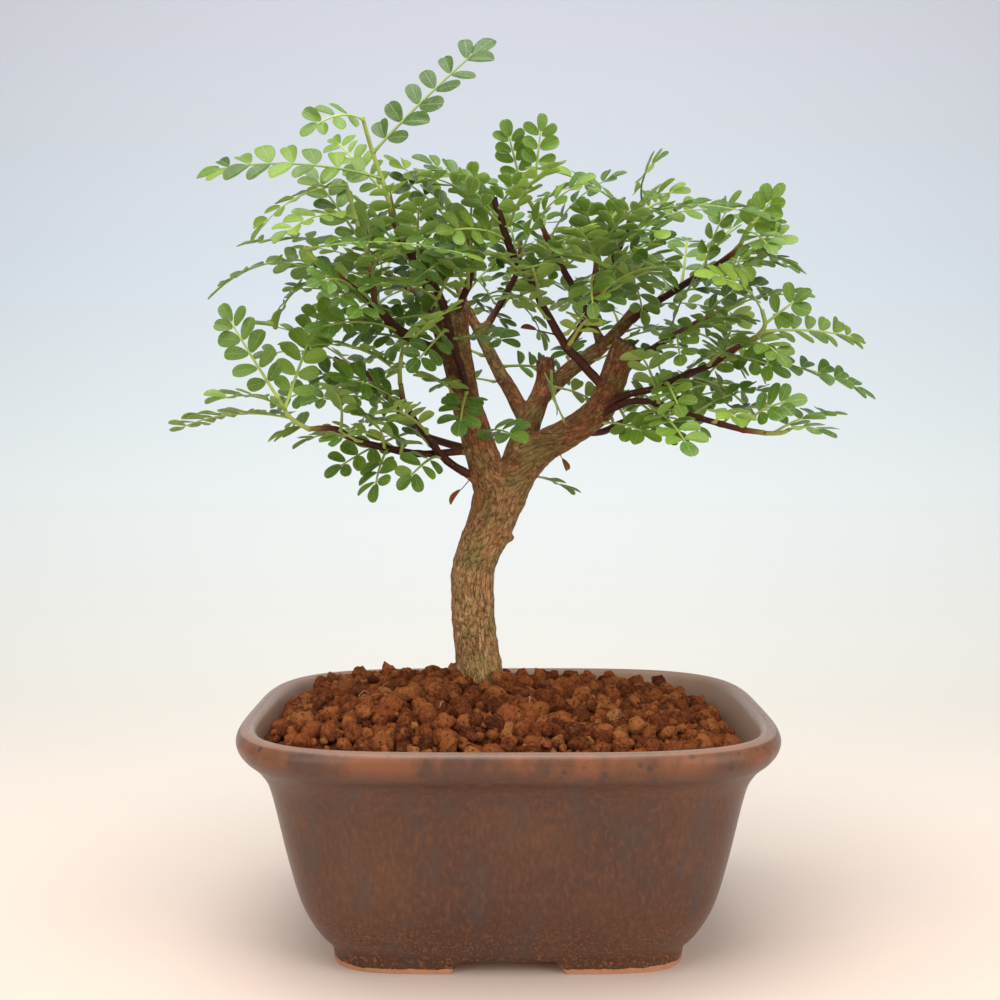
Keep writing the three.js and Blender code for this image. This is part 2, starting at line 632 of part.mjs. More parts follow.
// Single leaves on the bare wood, named by their place
const singles = {
  leaf_hanging_left: { on: "twigLowWest", at: 0.55, tip: [-35, -28, 123], face: [-0.4, -0.9, 0], rise: 1, pairs: 3 },
  leaf_branch_front: { on: "twigFront", at: 0.1, tip: [-13, -25, 140], face: [0, -0.7, 0.7], rise: 2, pairs: 4 },
  leaf_across_stub: { on: "twigFront", at: 0.36, tip: [3, -24, 163], face: [0, -0.5, 1], rise: 2, pairs: 4 },
  leaf_behind_fork: { on: "rightBranch", at: 0.18, tip: [20, 29, 122], face: [0.2, 0, 1], rise: 1, pairs: 2 },
  leaf_hanging_fork: { on: "middleStub", at: 0.9, tip: [21, 2, 138], face: [0.9, -0.3, 0.2], rise: 3, pairs: 3 },
  leaf_top_right_in: { on: "twigEast", at: 0.88, tip: [4, -22, 210], face: [0, -0.4, 1], rise: 3, pairs: 5 },
  leaf_top_right_out: { on: "twigEast", at: 0.9, tip: [67, -28, 188], face: [0.1, -0.4, 1], rise: 3, pairs: 5 },
  leaf_right_long: { on: "twigRight", at: 0.8, tip: [98.5, -17, 150], face: [0.1, -0.5, 1], rise: 3, pairs: 5 },
  leaf_right_drop: { on: "twigRightLow", at: 0.4, tip: [52, -42, 131], face: [0, -0.3, 1], rise: 2, pairs: 4 },
};

// Twigs that carry more leaves by rule: how many, and the share of the twig that stays bare
const leafyTwigs = {
  twigWest: [1, 0.4], twigFront: [2, 0.4], twigLowWest: [1, 0.4], twigBackWest: [2, 0.4],
  twigRise: [3, 0.45], twigEast: [1, 0.35], twigEastFork: [1, 0.8], twigRight: [2, 0.3],
  twigRightLow: [1, 0.6], twigRightBack: [2, 0.4], twigRightRise: [2, 0.4], twigCrest: [3, 0.3],
  twigTop: [2, 0.4], twigBackLeft: [3, 0.4], twigBackMiddle: [2, 0.5], twigCentre: [3, 0.3],
  innerLeft: [1, 0.9],
};

const leafKind = (leaf) => ({ leaflet: 6.4, wide: 0.64, fold: 0.3, stalk: leafStalk, tone: "leaf", ...leaf });

// The longest leaflet whose pairs stand clear of each other on a leaf of this length
const leafletFitting = (length, pairs) => Math.min(
  leafletLong,
  (0.96 * length - leafStalk) / (1 + leafletSpacing * (pairs - 1)),
);

// The place just off the bark where a leaf starts, on the side that it leaves by
function offBark(limb, share, tip) {
  const spot = pointOn(limb.points, share);
  const away = tip.clone().sub(spot).normalize();
  const bark = obstacles.filter(({ owner }) => owner === "wood");
  while (bark.some((other) => other.spot.distanceTo(spot) < other.reach + 0.45)) spot.addScaledVector(away, 0.1);
  return spot;
}

// The tip of a leaf that grows outwards from a twig, inside the crown's outline
function ruledTip(spot, k) {
  const heading = Math.atan2(spot.y - crown.middle[1], spot.x) + (k % 2 ? -1 : 1) * (0.35 + 0.9 * chance(k));
  const lift = -0.15 + 0.6 * chance(k + 0.4);
  const out = new THREE.Vector3(Math.cos(heading), Math.sin(heading), lift).normalize();
  let length = 30 + 9 * chance(k + 0.7);
  const share = (p) => ((p.x - crown.middle[0]) / crown.x) ** 2 + ((p.y - crown.middle[1]) / crown.y) ** 2
    + ((p.z - crown.middle[2]) / crown.z) ** 2;
  while (length > 22 && share(spot.clone().addScaledVector(out, length)) > 1) length -= 2;
  return spot.clone().addScaledVector(out, length);
}

const tones = {
  dark: 0x3f6b35, leaf: 0x4f8236, olive: 0x7c8f3c, young: 0x7fb04a,
};

function makeFoliage() {
  const foliage = {};
  Object.values(limbs).forEach((limb) => addPath(limb.points, limb.radii, "wood"));
  Object.entries(shoots).forEach(([name, shoot]) => addPath(shoot.stem, [0.7, 0.7, 0.7, 0.6], name));
  for (const [name, shoot] of Object.entries(shoots)) {
    const stemRadii = shoot.stem.map((_, k) => 0.75 - 0.05 * k);
    const parts = [sweep(shoot.stem, stemRadii, 4)];
    for (const given of shoot.leaves) {
      const spot = pointOn(shoot.stem, given.at);
      const leaf = leafKind({ ...given, base: spot, tip: vec(given.tip), face: vec(given.face) });
      parts.push(leafPlate(bendClear(leaf, name)));
    }
    foliage[name] = { solid: join(parts), tone: shoot.leaves[0].tone };
  }
  for (const [name, given] of Object.entries(singles)) {
    const tip = vec(given.tip);
    const base = offBark(limbs[given.on], given.at, tip);
    const leaf = bendClear(leafKind({ ...given, base, tip, face: vec(given.face) }), name);
    foliage[name] = { solid: leafPlate(leaf), tone: leaf.tone };
  }
  let k = 0;
  for (const [twig, [count, bare]] of Object.entries(leafyTwigs)) {
    for (let n = 0; n < count; n += 1) {
      k += 1;
      const share = bare + (0.97 - bare) * (n + 0.5) / count;
      const spot = pointOn(limbs[twig].points, share);
      const tip = ruledTip(spot, k);
      const base = offBark(limbs[twig], share, tip);
      const pairs = Math.max(3, Math.round((tip.distanceTo(base) - 13) / leafletPitch) + 1);
      const leaflet = leafletFitting(tip.distanceTo(base), pairs);
      const face = new THREE.Vector3(0.6 * (chance(k + 0.2) - 0.5), 0.6 * (chance(k + 0.8) - 0.5), 1);
      const tone = ["leaf", "dark", "leaf", "olive"][k % 4];
      const name = `leaf_${String(k).padStart(2, "0")}`;
      const leaf = bendClear(leafKind({ base, tip, face, rise: 2 + 2 * chance(k + 0.9), pairs, leaflet, tone }), name);
      foliage[name] = { solid: leafPlate(leaf), tone: leaf.tone };
    }
  }
  return foliage;
}

function namedMesh(name, geometry, color, roughness) {
  const flat = geometry.index ? geometry.toNonIndexed() : geometry;
  flat.computeVertexNormals();
  const mesh = new THREE.Mesh(flat, new THREE.MeshStandardMaterial({ color, roughness, metalness: 0 }));
  mesh.name = name;
  return mesh;
}

const bonsai = new THREE.Group();
bonsai.add(namedMesh("pot", makePot(), 0x6a4630, 0.45));
bonsai.add(namedMesh("soil", makeSoil(), 0x7a3f24, 0.95));
bonsai.add(namedMesh("trunk_and_branches", makeWood(), 0x7d6446, 0.85));
for (const [name, { solid, tone }] of Object.entries(makeFoliage())) {
  bonsai.add(namedMesh(name, toGeometry(solid), tones[tone], 0.5));
}

export default bonsai;
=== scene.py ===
import math
import bpy
import numpy as np
from mathutils import Matrix, Quaternion, Vector, kdtree, noise


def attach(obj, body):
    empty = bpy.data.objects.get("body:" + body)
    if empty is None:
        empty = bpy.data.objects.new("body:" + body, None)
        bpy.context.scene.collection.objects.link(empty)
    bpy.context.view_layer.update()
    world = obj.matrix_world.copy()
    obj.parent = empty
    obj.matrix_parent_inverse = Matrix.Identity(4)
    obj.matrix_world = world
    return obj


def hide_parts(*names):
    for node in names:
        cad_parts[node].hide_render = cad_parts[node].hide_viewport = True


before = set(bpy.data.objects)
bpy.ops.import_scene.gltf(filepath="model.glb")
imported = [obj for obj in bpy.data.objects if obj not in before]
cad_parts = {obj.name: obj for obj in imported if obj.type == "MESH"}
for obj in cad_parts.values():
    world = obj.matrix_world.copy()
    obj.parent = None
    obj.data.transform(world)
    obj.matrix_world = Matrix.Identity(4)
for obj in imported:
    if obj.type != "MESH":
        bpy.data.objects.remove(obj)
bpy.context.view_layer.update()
print("frame loaded")

unit = 0.001   # the sizes below are in millimetres
up = Vector((0, 0, 1))


def chance(k):
    # a repeatable number from 0 to 1
    value = math.sin(k * 12.9898) * 43758.5453
    return value - math.floor(value)


def paint(text):
    # a colour given as hex, in the linear values that nodes take
    parts = [int(text[k:k + 2], 16) / 255 for k in (0, 2, 4)]
    return [c / 12.92 if c < 0.04045 else ((c + 0.055) / 1.055) ** 2.4 for c in parts] + [1]


def varied(limits, k):
    # limits give the least value, and how much more it may be
    return limits[0] + limits[1] * chance(k)


def fullTurn(count):
    # evenly spaced angles, once round
    return [2 * math.pi * k / count for k in range(count)]


def addObject(name, points, faces, edges=()):
    # points in millimetres
    mesh = bpy.data.meshes.new(name)
    mesh.from_pydata([tuple(unit * c for c in p) for p in points], list(edges), faces)
    mesh.polygons.foreach_set("use_smooth", [True] * len(mesh.polygons))
    obj = bpy.data.objects.new(name, mesh)
    bpy.context.collection.objects.link(obj)
    return obj


def storeValues(mesh, name, values, domain="POINT"):
    rows = np.asarray(values, np.float32)
    kind, key = ("FLOAT_VECTOR", "vector") if rows.ndim == 2 else ("FLOAT", "value")
    mesh.attributes.new(name, kind, domain).data.foreach_set(key, rows.ravel())


def smoothLine(points, steps):
    # a rounded line through the given points, of any number of values each
    rows = [np.array(p, float) for p in points]
    rows = [2 * rows[0] - rows[1]] + rows + [2 * rows[-1] - rows[-2]]
    line = []
    for a, b, c, d in zip(rows, rows[1:], rows[2:], rows[3:]):
        for n in range(steps):
            t = n / steps
            line.append(0.5 * (2 * b + (c - a) * t + (2 * a - 5 * b + 4 * c - d) * t ** 2
                               + (3 * b - a - 3 * c + d) * t ** 3))
    return line + [rows[-2]]


# Helpers for the nodes of materials and of geometry
def setInputs(tree, node, inputs):
    # a socket given as an input is linked, anything else is set
    for key, value in inputs.items():
        if isinstance(value, bpy.types.NodeSocket):
            tree.links.new(value, node.inputs[key])
        else:
            node.inputs[key].default_value = value


def addNode(tree, kind, inputs=None, **settings):
    node = tree.nodes.new(kind)
    for key, value in settings.items():
        setattr(node, key, value)
    setInputs(tree, node, inputs or {})
    return node


def made(tree, kind, inputs=None, **settings):
    # what a new node gives at its first output
    return addNode(tree, kind, inputs, **settings).outputs[0]


def newTree(name, wanted):
    tree = bpy.data.node_groups.new(name, "GeometryNodeTree")
    tree.interface.new_socket("Geometry", in_out="OUTPUT", socket_type="NodeSocketGeometry")
    tree.interface.new_socket("Geometry", in_out="INPUT", socket_type="NodeSocketGeometry")
    for label, kind in wanted.items():
        tree.interface.new_socket(label, in_out="INPUT", socket_type="NodeSocket" + kind)
    return tree, tree.nodes.new("NodeGroupInput").outputs, tree.nodes.new("NodeGroupOutput").inputs


def bakeModifiers(obj):
    # the evaluated shape becomes the object's plain mesh
    depsgraph = bpy.context.evaluated_depsgraph_get()
    evaluated = obj.evaluated_get(depsgraph)
    mesh = bpy.data.meshes.new_from_object(
        evaluated, preserve_all_data_layers=True, depsgraph=depsgraph)
    obj.modifiers.clear()
    obj.data = mesh
    mesh.name = obj.name
    return obj


def runTree(obj, tree, values):
    modifier = obj.modifiers.new(tree.name, "NODES")
    modifier.node_group = tree
    for item in tree.interface.items_tree:
        if item.in_out == "INPUT" and item.name in values:
            modifier[item.identifier] = values[item.name]
    return bakeModifiers(obj)


def named(tree, name, kind="FLOAT"):
    # a value stored on the mesh, for geometry nodes
    return made(tree, "GeometryNodeInputNamedAttribute", {"Name": name}, data_type=kind)


def formsIn(tree, collection):
    inputs = {"Collection": collection, "Separate Children": True, "Reset Children": True}
    return made(tree, "GeometryNodeCollectionInfo", inputs)


def realWith(tree, placed, finish):
    # instances made real, in a material
    real = made(tree, "GeometryNodeRealizeInstances", {0: placed})
    return made(tree, "GeometryNodeSetMaterial", {"Geometry": real, "Material": finish})


def smoothTubes(tree, lines, section, finish):
    # closed tubes along curves, as thick as the radius stored at each point
    inputs = {"Curve": lines, "Profile Curve": section, "Scale": named(tree, "radius"), "Fill Caps": True}
    tubes = made(tree, "GeometryNodeCurveToMesh", inputs)
    tubes = made(tree, "GeometryNodeSetShadeSmooth", {"Geometry": tubes})
    return made(tree, "GeometryNodeSetMaterial", {"Geometry": tubes, "Material": finish})


def newMaterial(name):
    material = bpy.data.materials.new(name)
    material.use_nodes = True
    tree = material.node_tree
    return material, tree, tree.nodes["Principled BSDF"]


def objectPlace(tree):
    return addNode(tree, "ShaderNodeTexCoord").outputs["Object"]


def heightOf(tree, place):
    return addNode(tree, "ShaderNodeSeparateXYZ", {0: place}).outputs["Z"]


def readValue(tree, name):
    # a value stored on the mesh, for materials
    return addNode(tree, "ShaderNodeAttribute", attribute_name=name).outputs["Fac"]


def compute(tree, operation, *values):
    return made(tree, "ShaderNodeMath", dict(enumerate(values)), operation=operation)


def noiseAt(tree, vector, scale, detail=4, rough=0.6):
    inputs = {"Vector": vector, "Scale": scale, "Detail": detail, "Roughness": rough}
    return addNode(tree, "ShaderNodeTexNoise", inputs).outputs["Fac"]


def cellsAt(tree, vector, scale, feature="F1"):
    inputs = {"Vector": vector, "Scale": scale}
    return addNode(tree, "ShaderNodeTexVoronoi", inputs, feature=feature).outputs["Distance"]


def between(tree, value, low, high, start=0.0, end=1.0):
    inputs = {"Value": value, "From Min": low, "From Max": high, "To Min": start, "To Max": end}
    return made(tree, "ShaderNodeMapRange", inputs)


def mixValues(tree, share, first, second):
    return made(tree, "ShaderNodeMix", {0: share, 2: first, 3: second})


def mixColors(tree, share, first, second):
    inputs = {"Factor": share, 6: first, 7: second}
    return addNode(tree, "ShaderNodeMix", inputs, data_type="RGBA").outputs[2]


def tinted(tree, color, value, limits, text):
    # lays a new colour over one, where a value runs between two limits
    return mixColors(tree, between(tree, value, *limits), color, paint(text))


def ramp(tree, value, stops):
    node = addNode(tree, "ShaderNodeValToRGB", {"Fac": value})
    elements = node.color_ramp.elements
    while len(elements) < len(stops):
        elements.new(0.5)
    for element, (place, color) in zip(elements, stops):
        element.position = place
        element.color = paint(color)
    return node.outputs["Color"]


def bumpUp(tree, height, strength, distance, normal=None):
    inputs = {"Height": height, "Strength": strength, "Distance": distance * unit}
    if normal:
        inputs["Normal"] = normal
    return made(tree, "ShaderNodeBump", inputs)


# Pot: a flared rounded rectangle with a rolled lip, four feet and a recess below
pot = {
    "width": 145, "depth": 118, "height": 64,
    "rimPower": 3.9, "footPower": 5.8,      # how square the outline is
    "recess": [(33, 4.5), (32, 4.4), (32, 0.5), (31.6, 0)],
    "outer": [(25.6, 0), (25.05, 0.5), (24.7, 2.6), (24, 4.6), (20.6, 9), (16.6, 17), (13.2, 29),
              (9.9, 43), (8, 49.4), (5.9, 52.9), (4.2, 54.8), (2.2, 56.6), (0.6, 58.8), (0, 61.1),
              (0.9, 63.3), (2.9, 64)],
    "inner": [(4.6, 63), (6, 60), (9.5, 51), (15, 38), (21, 15), (28, 9.5)],
    "turns": 208, "steps": 5, "sharpAngle": 38,
    "cutHeight": 3.5, "cutPast": 1, "frontCut": (31, 24.5), "sideCut": (26, 19.5),
    "drainRadius": 5.5, "drainPlace": 20, "drainSides": 24, "drainTop": 14,
    "glazeLine": (0.9, 1.6),        # heights between which the glaze's ragged edge runs
    "bareInset": 31, "bareTop": 9,          # the unglazed recess under the floor
    "sheenFrom": 40, "lipSheenFrom": 63.5, "lipSheenShare": 0.6,      # painted reflection, a paler colour on the inner wall and on the lip's top
}


def potRadius(turn, inset, z):
    # how far the outline reaches in a direction, squarer towards the foot
    power = pot["footPower"] + (pot["rimPower"] - pot["footPower"]) * min(z / pot["height"], 1)
    across = abs(math.cos(turn)) / (pot["width"] / 2 - inset)
    deep = abs(math.sin(turn)) / (pot["depth"] / 2 - inset)
    return (across ** power + deep ** power) ** (-1 / power)


def potRing(turns, inset, z):
    # the pot's outline drawn in by an inset, at a height
    radii = [potRadius(t, inset, z) for t in turns]
    return [(r * math.cos(t), r * math.sin(t), max(z, 0)) for r, t in zip(radii, turns)]


def innerInset(z):
    # how far in from the rim's outline the inner wall is, at a height
    rows = pot["inner"][::-1]
    return np.interp(z, [row[1] for row in rows], [row[0] for row in rows])


def loftRings(rings):
    # rings of equal length, joined in order, with a fan at each end
    count = len(rings[0])
    points = [p for ring in rings for p in ring]
    faces = []
    for level in range(len(rings) - 1):
        for k in range(count):
            a, b = level * count + k, level * count + (k + 1) % count
            faces.append((a, b, b + count, a + count))
    for ring, first, flip in ((rings[0], 0, True), (rings[-1], (len(rings) - 1) * count, False)):
        points.append(tuple(np.mean(np.array(ring), 0)))
        for k in range(count):
            a, b = first + k, first + (k + 1) % count
            faces.append((b, a, len(points) - 1) if flip else (a, b, len(points) - 1))
    return points, faces


def cutAway(obj, name, points, faces):
    cutter = addObject(name, points, faces)
    modifier = obj.modifiers.new("cut", "BOOLEAN")
    modifier.operation = "DIFFERENCE"
    modifier.solver = "EXACT"
    modifier.object = cutter
    bakeModifiers(obj)
    bpy.data.objects.remove(cutter)


def footCut(bottom, top, alongX):
    # a low cut between two feet, wider at the bottom, right through the pot
    past, high, far = pot["cutPast"], pot["cutHeight"], pot["width"] / 2
    foot = bottom / 2 + past
    section = [(-foot, -past), (foot, -past), (top / 2, high), (-top / 2, high)]
    rings = [[(p, side, z) for p, z in section] for side in (far, -far)]
    if alongX:
        rings = [[(side, -p, z) for p, side, z in ring] for ring in rings]
    return loftRings(rings)


def makePot():
    turns = fullTurn(pot["turns"])
    line = pot["recess"][:3]
    line += smoothLine(pot["recess"][3:] + pot["outer"] + pot["inner"], pot["steps"])
    body = addObject("potBody", *loftRings([potRing(turns, inset, z) for inset, z in line]))
    cutAway(body, "frontCut", *footCut(*pot["frontCut"], False))
    cutAway(body, "sideCut", *footCut(*pot["sideCut"], True))
    radius = pot["drainRadius"]
    for side in (-1, 1):
        middle = side * pot["drainPlace"]
        drain = [[(middle + radius * math.cos(t), radius * math.sin(t), z)
                  for t in fullTurn(pot["drainSides"])] for z in (0, pot["drainTop"])]
        cutAway(body, "drain", *loftRings(drain))
    mesh = body.data
    places = np.array([v.co for v in mesh.vertices]) / unit
    across, deep, heights = np.abs(places[:, 0]), np.abs(places[:, 1]), places[:, 2]
    inside = (across < pot["width"] / 2 - pot["bareInset"]) & (deep < pot["depth"] / 2 - pot["bareInset"])
    storeValues(mesh, "bare", (inside & (heights < pot["bareTop"])).astype(float))
    # the inner wall above the soil, and less strongly the lip's top, are marked for a painted reflection
    reaches = [potRadius(math.atan2(y, x), inset - 1, z)
               for (x, y, z), inset in zip(places, innerInset(heights))]
    within = (heights > pot["sheenFrom"]) & (np.hypot(places[:, 0], places[:, 1]) < reaches)
    storeValues(mesh, "within", np.maximum(within, pot["lipSheenShare"] * (heights > pot["lipSheenFrom"])))
    mesh.set_sharp_from_angle(angle=math.radians(pot["sharpAngle"]))
    return body


def makeGlaze():
    material, tree, shader = newMaterial("mottledBrownGlaze")
    place = objectPlace(tree)
    height = heightOf(tree, place)
    streaked = made(tree, "ShaderNodeMapping", {"Vector": place, "Scale": (1, 1, 0.42)})
    cloudy = noiseAt(tree, place, 38, 3, 0.55)
    flecks = noiseAt(tree, streaked, 880, 3, 0.55)
    color = ramp(tree, cloudy, [(0.3, "4c3228"), (0.5, "543627"), (0.72, "5f3d29")])
    color = tinted(tree, color, flecks, (0.5, 0.72, 0, 0.4), "80502f")
    color = tinted(tree, color, flecks, (0.46, 0.34, 0, 0.4), "432d24")
    # fine orange dots towards the foot
    dots = between(tree, noiseAt(tree, place, 1300, 2, 0.5), 0.54, 0.66, 0, 0.8)
    dots = compute(tree, "MULTIPLY", dots, between(tree, height, 0.02, 0.004))
    color = mixColors(tree, dots, color, paint("9a6238"))
    # blue-grey patches where the glaze ran thin, and copper tones round the rim
    patches = noiseAt(tree, streaked, 95, 4, 0.65)
    color = tinted(tree, color, patches, (0.52, 0.68, 0, 0.5), "45403f")
    coppery = ramp(tree, patches, [(0.38, "5a3f31"), (0.48, "744a32"), (0.6, "885334")])
    color = mixColors(tree, between(tree, height, 0.0565, 0.0605, 0, 0.85), color, coppery)
    # dark spots, most of them near the rim
    spots = between(tree, cellsAt(tree, place, 360), 0.4, 0.2, 0, 0.75)
    spots = compute(tree, "MULTIPLY", spots, between(tree, noiseAt(tree, place, 120, 2, 0.5), 0.46, 0.56))
    spots = compute(tree, "MULTIPLY", spots, between(tree, height, 0.05, 0.058, 0.12, 1))
    color = mixColors(tree, spots, color, paint("3d3638"))
    # painted reflection: the marked inner wall and lip top are lightened to a pale grey-brown, as if they
    # mirrored the bright surroundings
    within = compute(tree, "MULTIPLY", readValue(tree, "within"), 0.85)
    color = mixColors(tree, within, color, paint("a98b77"))
    # the bare clay of the feet and of the underside
    ragged = noiseAt(tree, place, 260, 4, 0.6)
    line = between(tree, ragged, 0.3, 0.7, *[z * unit for z in pot["glazeLine"]])
    bare = compute(tree, "MAXIMUM", compute(tree, "LESS_THAN", height, line), readValue(tree, "bare"))
    clay = mixColors(tree, ragged, paint("b87c58"), paint("dba07a"))
    normal = bumpUp(tree, compute(tree, "ADD", flecks, ragged), 0.25, 0.12)
    pits = between(tree, cellsAt(tree, place, 520), 0.05, 0.2)
    setInputs(tree, shader, {
        "Base Color": mixColors(tree, bare, color, clay),
        "Roughness": mixValues(tree, bare, between(tree, flecks, 0.3, 0.7, 0.3, 0.4), 0.9),
        "Specular IOR Level": 0.38,
        "Normal": bumpUp(tree, pits, 0.3, 0.12, normal)})
    return material


potBody = makePot()
potBody.data.materials.clear()
potBody.data.materials.append(makeGlaze())
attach(potBody, "root")
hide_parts("pot")
print("pot made")


# Soil: a bed with baked clay granules of two sizes on it
soil = {
    "edge": 59, "mound": 10, "moundInset": 9, "lean": (-6, -3), "sunk": 2.6,
    "lump": 0.9, "lumpSize": 4.5,
    "inside": [(28.6, 9.9), (21.6, 15.4), (15.6, 38.4), (10.1, 51.4)],
    "turns": 120, "rows": 34, "wallGap": 0.6, "edgeGuess": 54.0,
    "granules": {
        # gap between them, smallest and largest size, how low and how high they lie, seed, form
        "granulesLarge": (4.0, 1.9, 3.6, -0.6, 1.7, 3, "large"),
        "granulesSmall": (2.2, 0.8, 1.7, 0.2, 2.1, 8, "small"),
        "granulesLoose": (8, 1.3, 2.9, 2.2, 3.6, 21, "large"),
    },
    # how many forms there are, their first seed and its step, and the divisions of their faces
    "forms": {"large": (9, 11, 5, 5), "small": (6, 71, 3, 2)},
    "trunk": (-8, 15), "trunkRoom": 8.0, "wallRoom": 0.965,
}
granuleShape = {
    "lumps": (0.36, 1.7), "dents": (0.16, 3.4), "grit": (0.12, 6),      # how high and how fine
    "flats": 6, "flatReach": (0.6, 0.25), "flatDepth": 0.75,
    "broad": 1.12, "low": 0.88,
}


def soilHeight(x, y):
    # a low mound that leans a little, flat at the pot's wall
    inset = soil["moundInset"]
    edge = max(abs(x) / (pot["width"] / 2 - inset), abs(y) / (pot["depth"] / 2 - inset))
    lean = soil["lean"][0] * x / pot["width"] + soil["lean"][1] * y / pot["depth"]
    return soil["edge"] + lean + soil["mound"] * max(0, 1 - edge ** 3)


def wallInset(z):
    return float(innerInset(z)) + soil["wallGap"]


def makeSoilBed():
    turns = fullTurn(soil["turns"])
    rings = [potRing(turns, inset, z) for inset, z in soil["inside"]]
    edges = []
    for t in turns:
        z = soil["edgeGuess"]
        for _ in range(4):   # settles where the bed's surface meets the wall
            r = potRadius(t, wallInset(z), z)
            z = soilHeight(r * math.cos(t), r * math.sin(t)) - soil["sunk"]
        edges.append(r)
    for row in range(soil["rows"], 0, -1):
        share = row / soil["rows"]
        ring = []
        for t, r in zip(turns, edges):
            x, y = share * r * math.cos(t), share * r * math.sin(t)
            lump = soil["lump"] * noise.noise(Vector((x, y, 0)) / soil["lumpSize"])
            ring.append((x, y, soilHeight(x, y) - soil["sunk"] + lump))
        rings.append(ring)
    bed = addObject("soilBed", *loftRings(rings))
    # granules have room on the top, but not in the trunk or the wall
    places = np.array([v.co for v in bed.data.vertices]) / unit
    room = np.zeros(len(places))
    for k in range(len(soil["inside"]) * soil["turns"], len(places)):
        x, y, z = places[k]
        away = math.hypot(x - soil["trunk"][0], y - soil["trunk"][1])
        share = math.hypot(x, y) / potRadius(math.atan2(y, x), wallInset(z), z)
        room[k] = 1.0 if away > soil["trunkRoom"] and share < soil["wallRoom"] else 0.0
    storeValues(bed.data, "room", room)
    return bed


def cubeBall(divisions):
    # a cube's grid of faces blown up to a ball
    points, faces, index = [], [], {}
    for axis in range(3):
        for side in (-1, 1):
            for i in range(divisions):
                for j in range(divisions):
                    corners = []
                    for di, dj in ((0, 0), (1, 0), (1, 1), (0, 1)):
                        spot = [0.0, 0.0, 0.0]
                        spot[axis] = side
                        spot[(axis + 1) % 3] = 2 * (i + di) / divisions - 1
                        spot[(axis + 2) % 3] = 2 * (j + dj) / divisions - 1
                        key = tuple(round(c, 5) for c in spot)
                        if key not in index:
                            index[key] = len(points)
                            points.append(Vector(spot).normalized())
                        corners.append(index[key])
                    faces.append(corners if side > 0 else corners[::-1])
    return points, faces


def granuleForm(name, seed, divisions):
    # a lump of baked clay: a ball with flats and hollows
    points, faces = cubeBall(divisions)
    flats = [Vector([chance(seed + 7 * k + c) - 0.5 for c in (0.1, 0.4, 0.8)]).normalized()
             for k in range(granuleShape["flats"])]
    (lump, lumpScale), (dent, dentScale) = granuleShape["lumps"], granuleShape["dents"]
    grit, gritScale = granuleShape["grit"]
    near, spread = granuleShape["flatReach"]
    shaped = []
    for p in points:
        q = p * (1 + lump * noise.noise(p * lumpScale + Vector((seed, 0, 0))))
        for k, flat in enumerate(flats):
            reach = near + spread * chance(seed + 3.3 * k)
            if q.dot(flat) > reach:
                q -= flat * (q.dot(flat) - reach) * granuleShape["flatDepth"]
        q += p * dent * noise.noise(p * dentScale + Vector((0, seed, 0)))
        q += p * grit * noise.noise(p * gritScale + Vector((0, 0, seed)))
        shaped.append((q.x * granuleShape["broad"], q.y, q.z * granuleShape["low"]))
    form = addObject(name, shaped, faces)
    form.data.transform(Matrix.Scale(1 / unit, 4))   # one metre across, so that a size is a scale
    return form


def collect(name, objects):
    # a collection outside the scene that instances are drawn from
    group = bpy.data.collections.new(name)
    for obj in objects:
        bpy.context.collection.objects.unlink(obj)
        group.objects.link(obj)
    return group


def makeGranuleTree():
    tree, given, result = newTree("scatterGranules", {
        "Gap": "Float", "Smallest": "Float", "Largest": "Float", "Lowest": "Float", "Highest": "Float",
        "Seed": "Int", "Forms": "Collection", "Finish": "Material"})

    def drawn(low, high, seed):
        inputs = {2: low, 3: high, "Seed": seed}
        return addNode(tree, "FunctionNodeRandomValue", inputs, data_type="FLOAT").outputs[1]

    points = made(tree, "GeometryNodeDistributePointsOnFaces", {
        "Mesh": given["Geometry"], "Density Max": 400000.0, "Density Factor": named(tree, "room"),
        "Seed": given["Seed"], "Distance Min": given["Gap"]}, distribute_method="POISSON")
    lift = made(tree, "ShaderNodeCombineXYZ", {"Z": drawn(given["Lowest"], given["Highest"], 5)})
    points = made(tree, "GeometryNodeSetPosition", {"Geometry": points, "Offset": lift})
    tint = {"Geometry": points, "Name": "tint", "Value": drawn(0.0, 1.0, 11)}
    points = made(tree, "GeometryNodeStoreNamedAttribute", tint, domain="POINT", data_type="FLOAT")
    limits = {0: (0, 0, 0), 1: (2 * math.pi, 2 * math.pi, 2 * math.pi), "Seed": 2}
    turn = made(tree, "FunctionNodeRandomValue", limits, data_type="FLOAT_VECTOR")
    placed = made(tree, "GeometryNodeInstanceOnPoints", {
        "Points": points, "Instance": formsIn(tree, given["Forms"]), "Pick Instance": True,
        "Rotation": made(tree, "FunctionNodeEulerToRotation", {0: turn}),
        "Scale": drawn(given["Smallest"], given["Largest"], 7)})
    tree.links.new(realWith(tree, placed, given["Finish"]), result[0])
    return tree


def makeGranuleMaterial():
    material, tree, shader = newMaterial("bakedClayGranules")
    place = objectPlace(tree)
    grit = noiseAt(tree, place, 950, 5, 0.75)
    patches = noiseAt(tree, place, 300, 4, 0.65)
    color = ramp(tree, readValue(tree, "tint"), [
        (0.0, "5e301b"), (0.3, "8c4927"), (0.6, "ad6035"), (0.93, "bf733f"), (1.0, "cd8c52")])
    color = tinted(tree, color, patches, (0.5, 0.72, 0, 0.5), "91502a")
    color = tinted(tree, color, patches, (0.46, 0.34, 0, 0.5), "562a16")
    color = tinted(tree, color, grit, (0.47, 0.38, 0, 0.8), "3c1c0e")
    color = tinted(tree, color, grit, (0.55, 0.68, 0, 0.7), "c27b42")
    coarse = bumpUp(tree, patches, 0.9, 1.3)
    setInputs(tree, shader, {
        "Base Color": color, "Roughness": 0.95, "Specular IOR Level": 0.1,
        "Normal": bumpUp(tree, grit, 1.0, 1.6, coarse)})
    return material


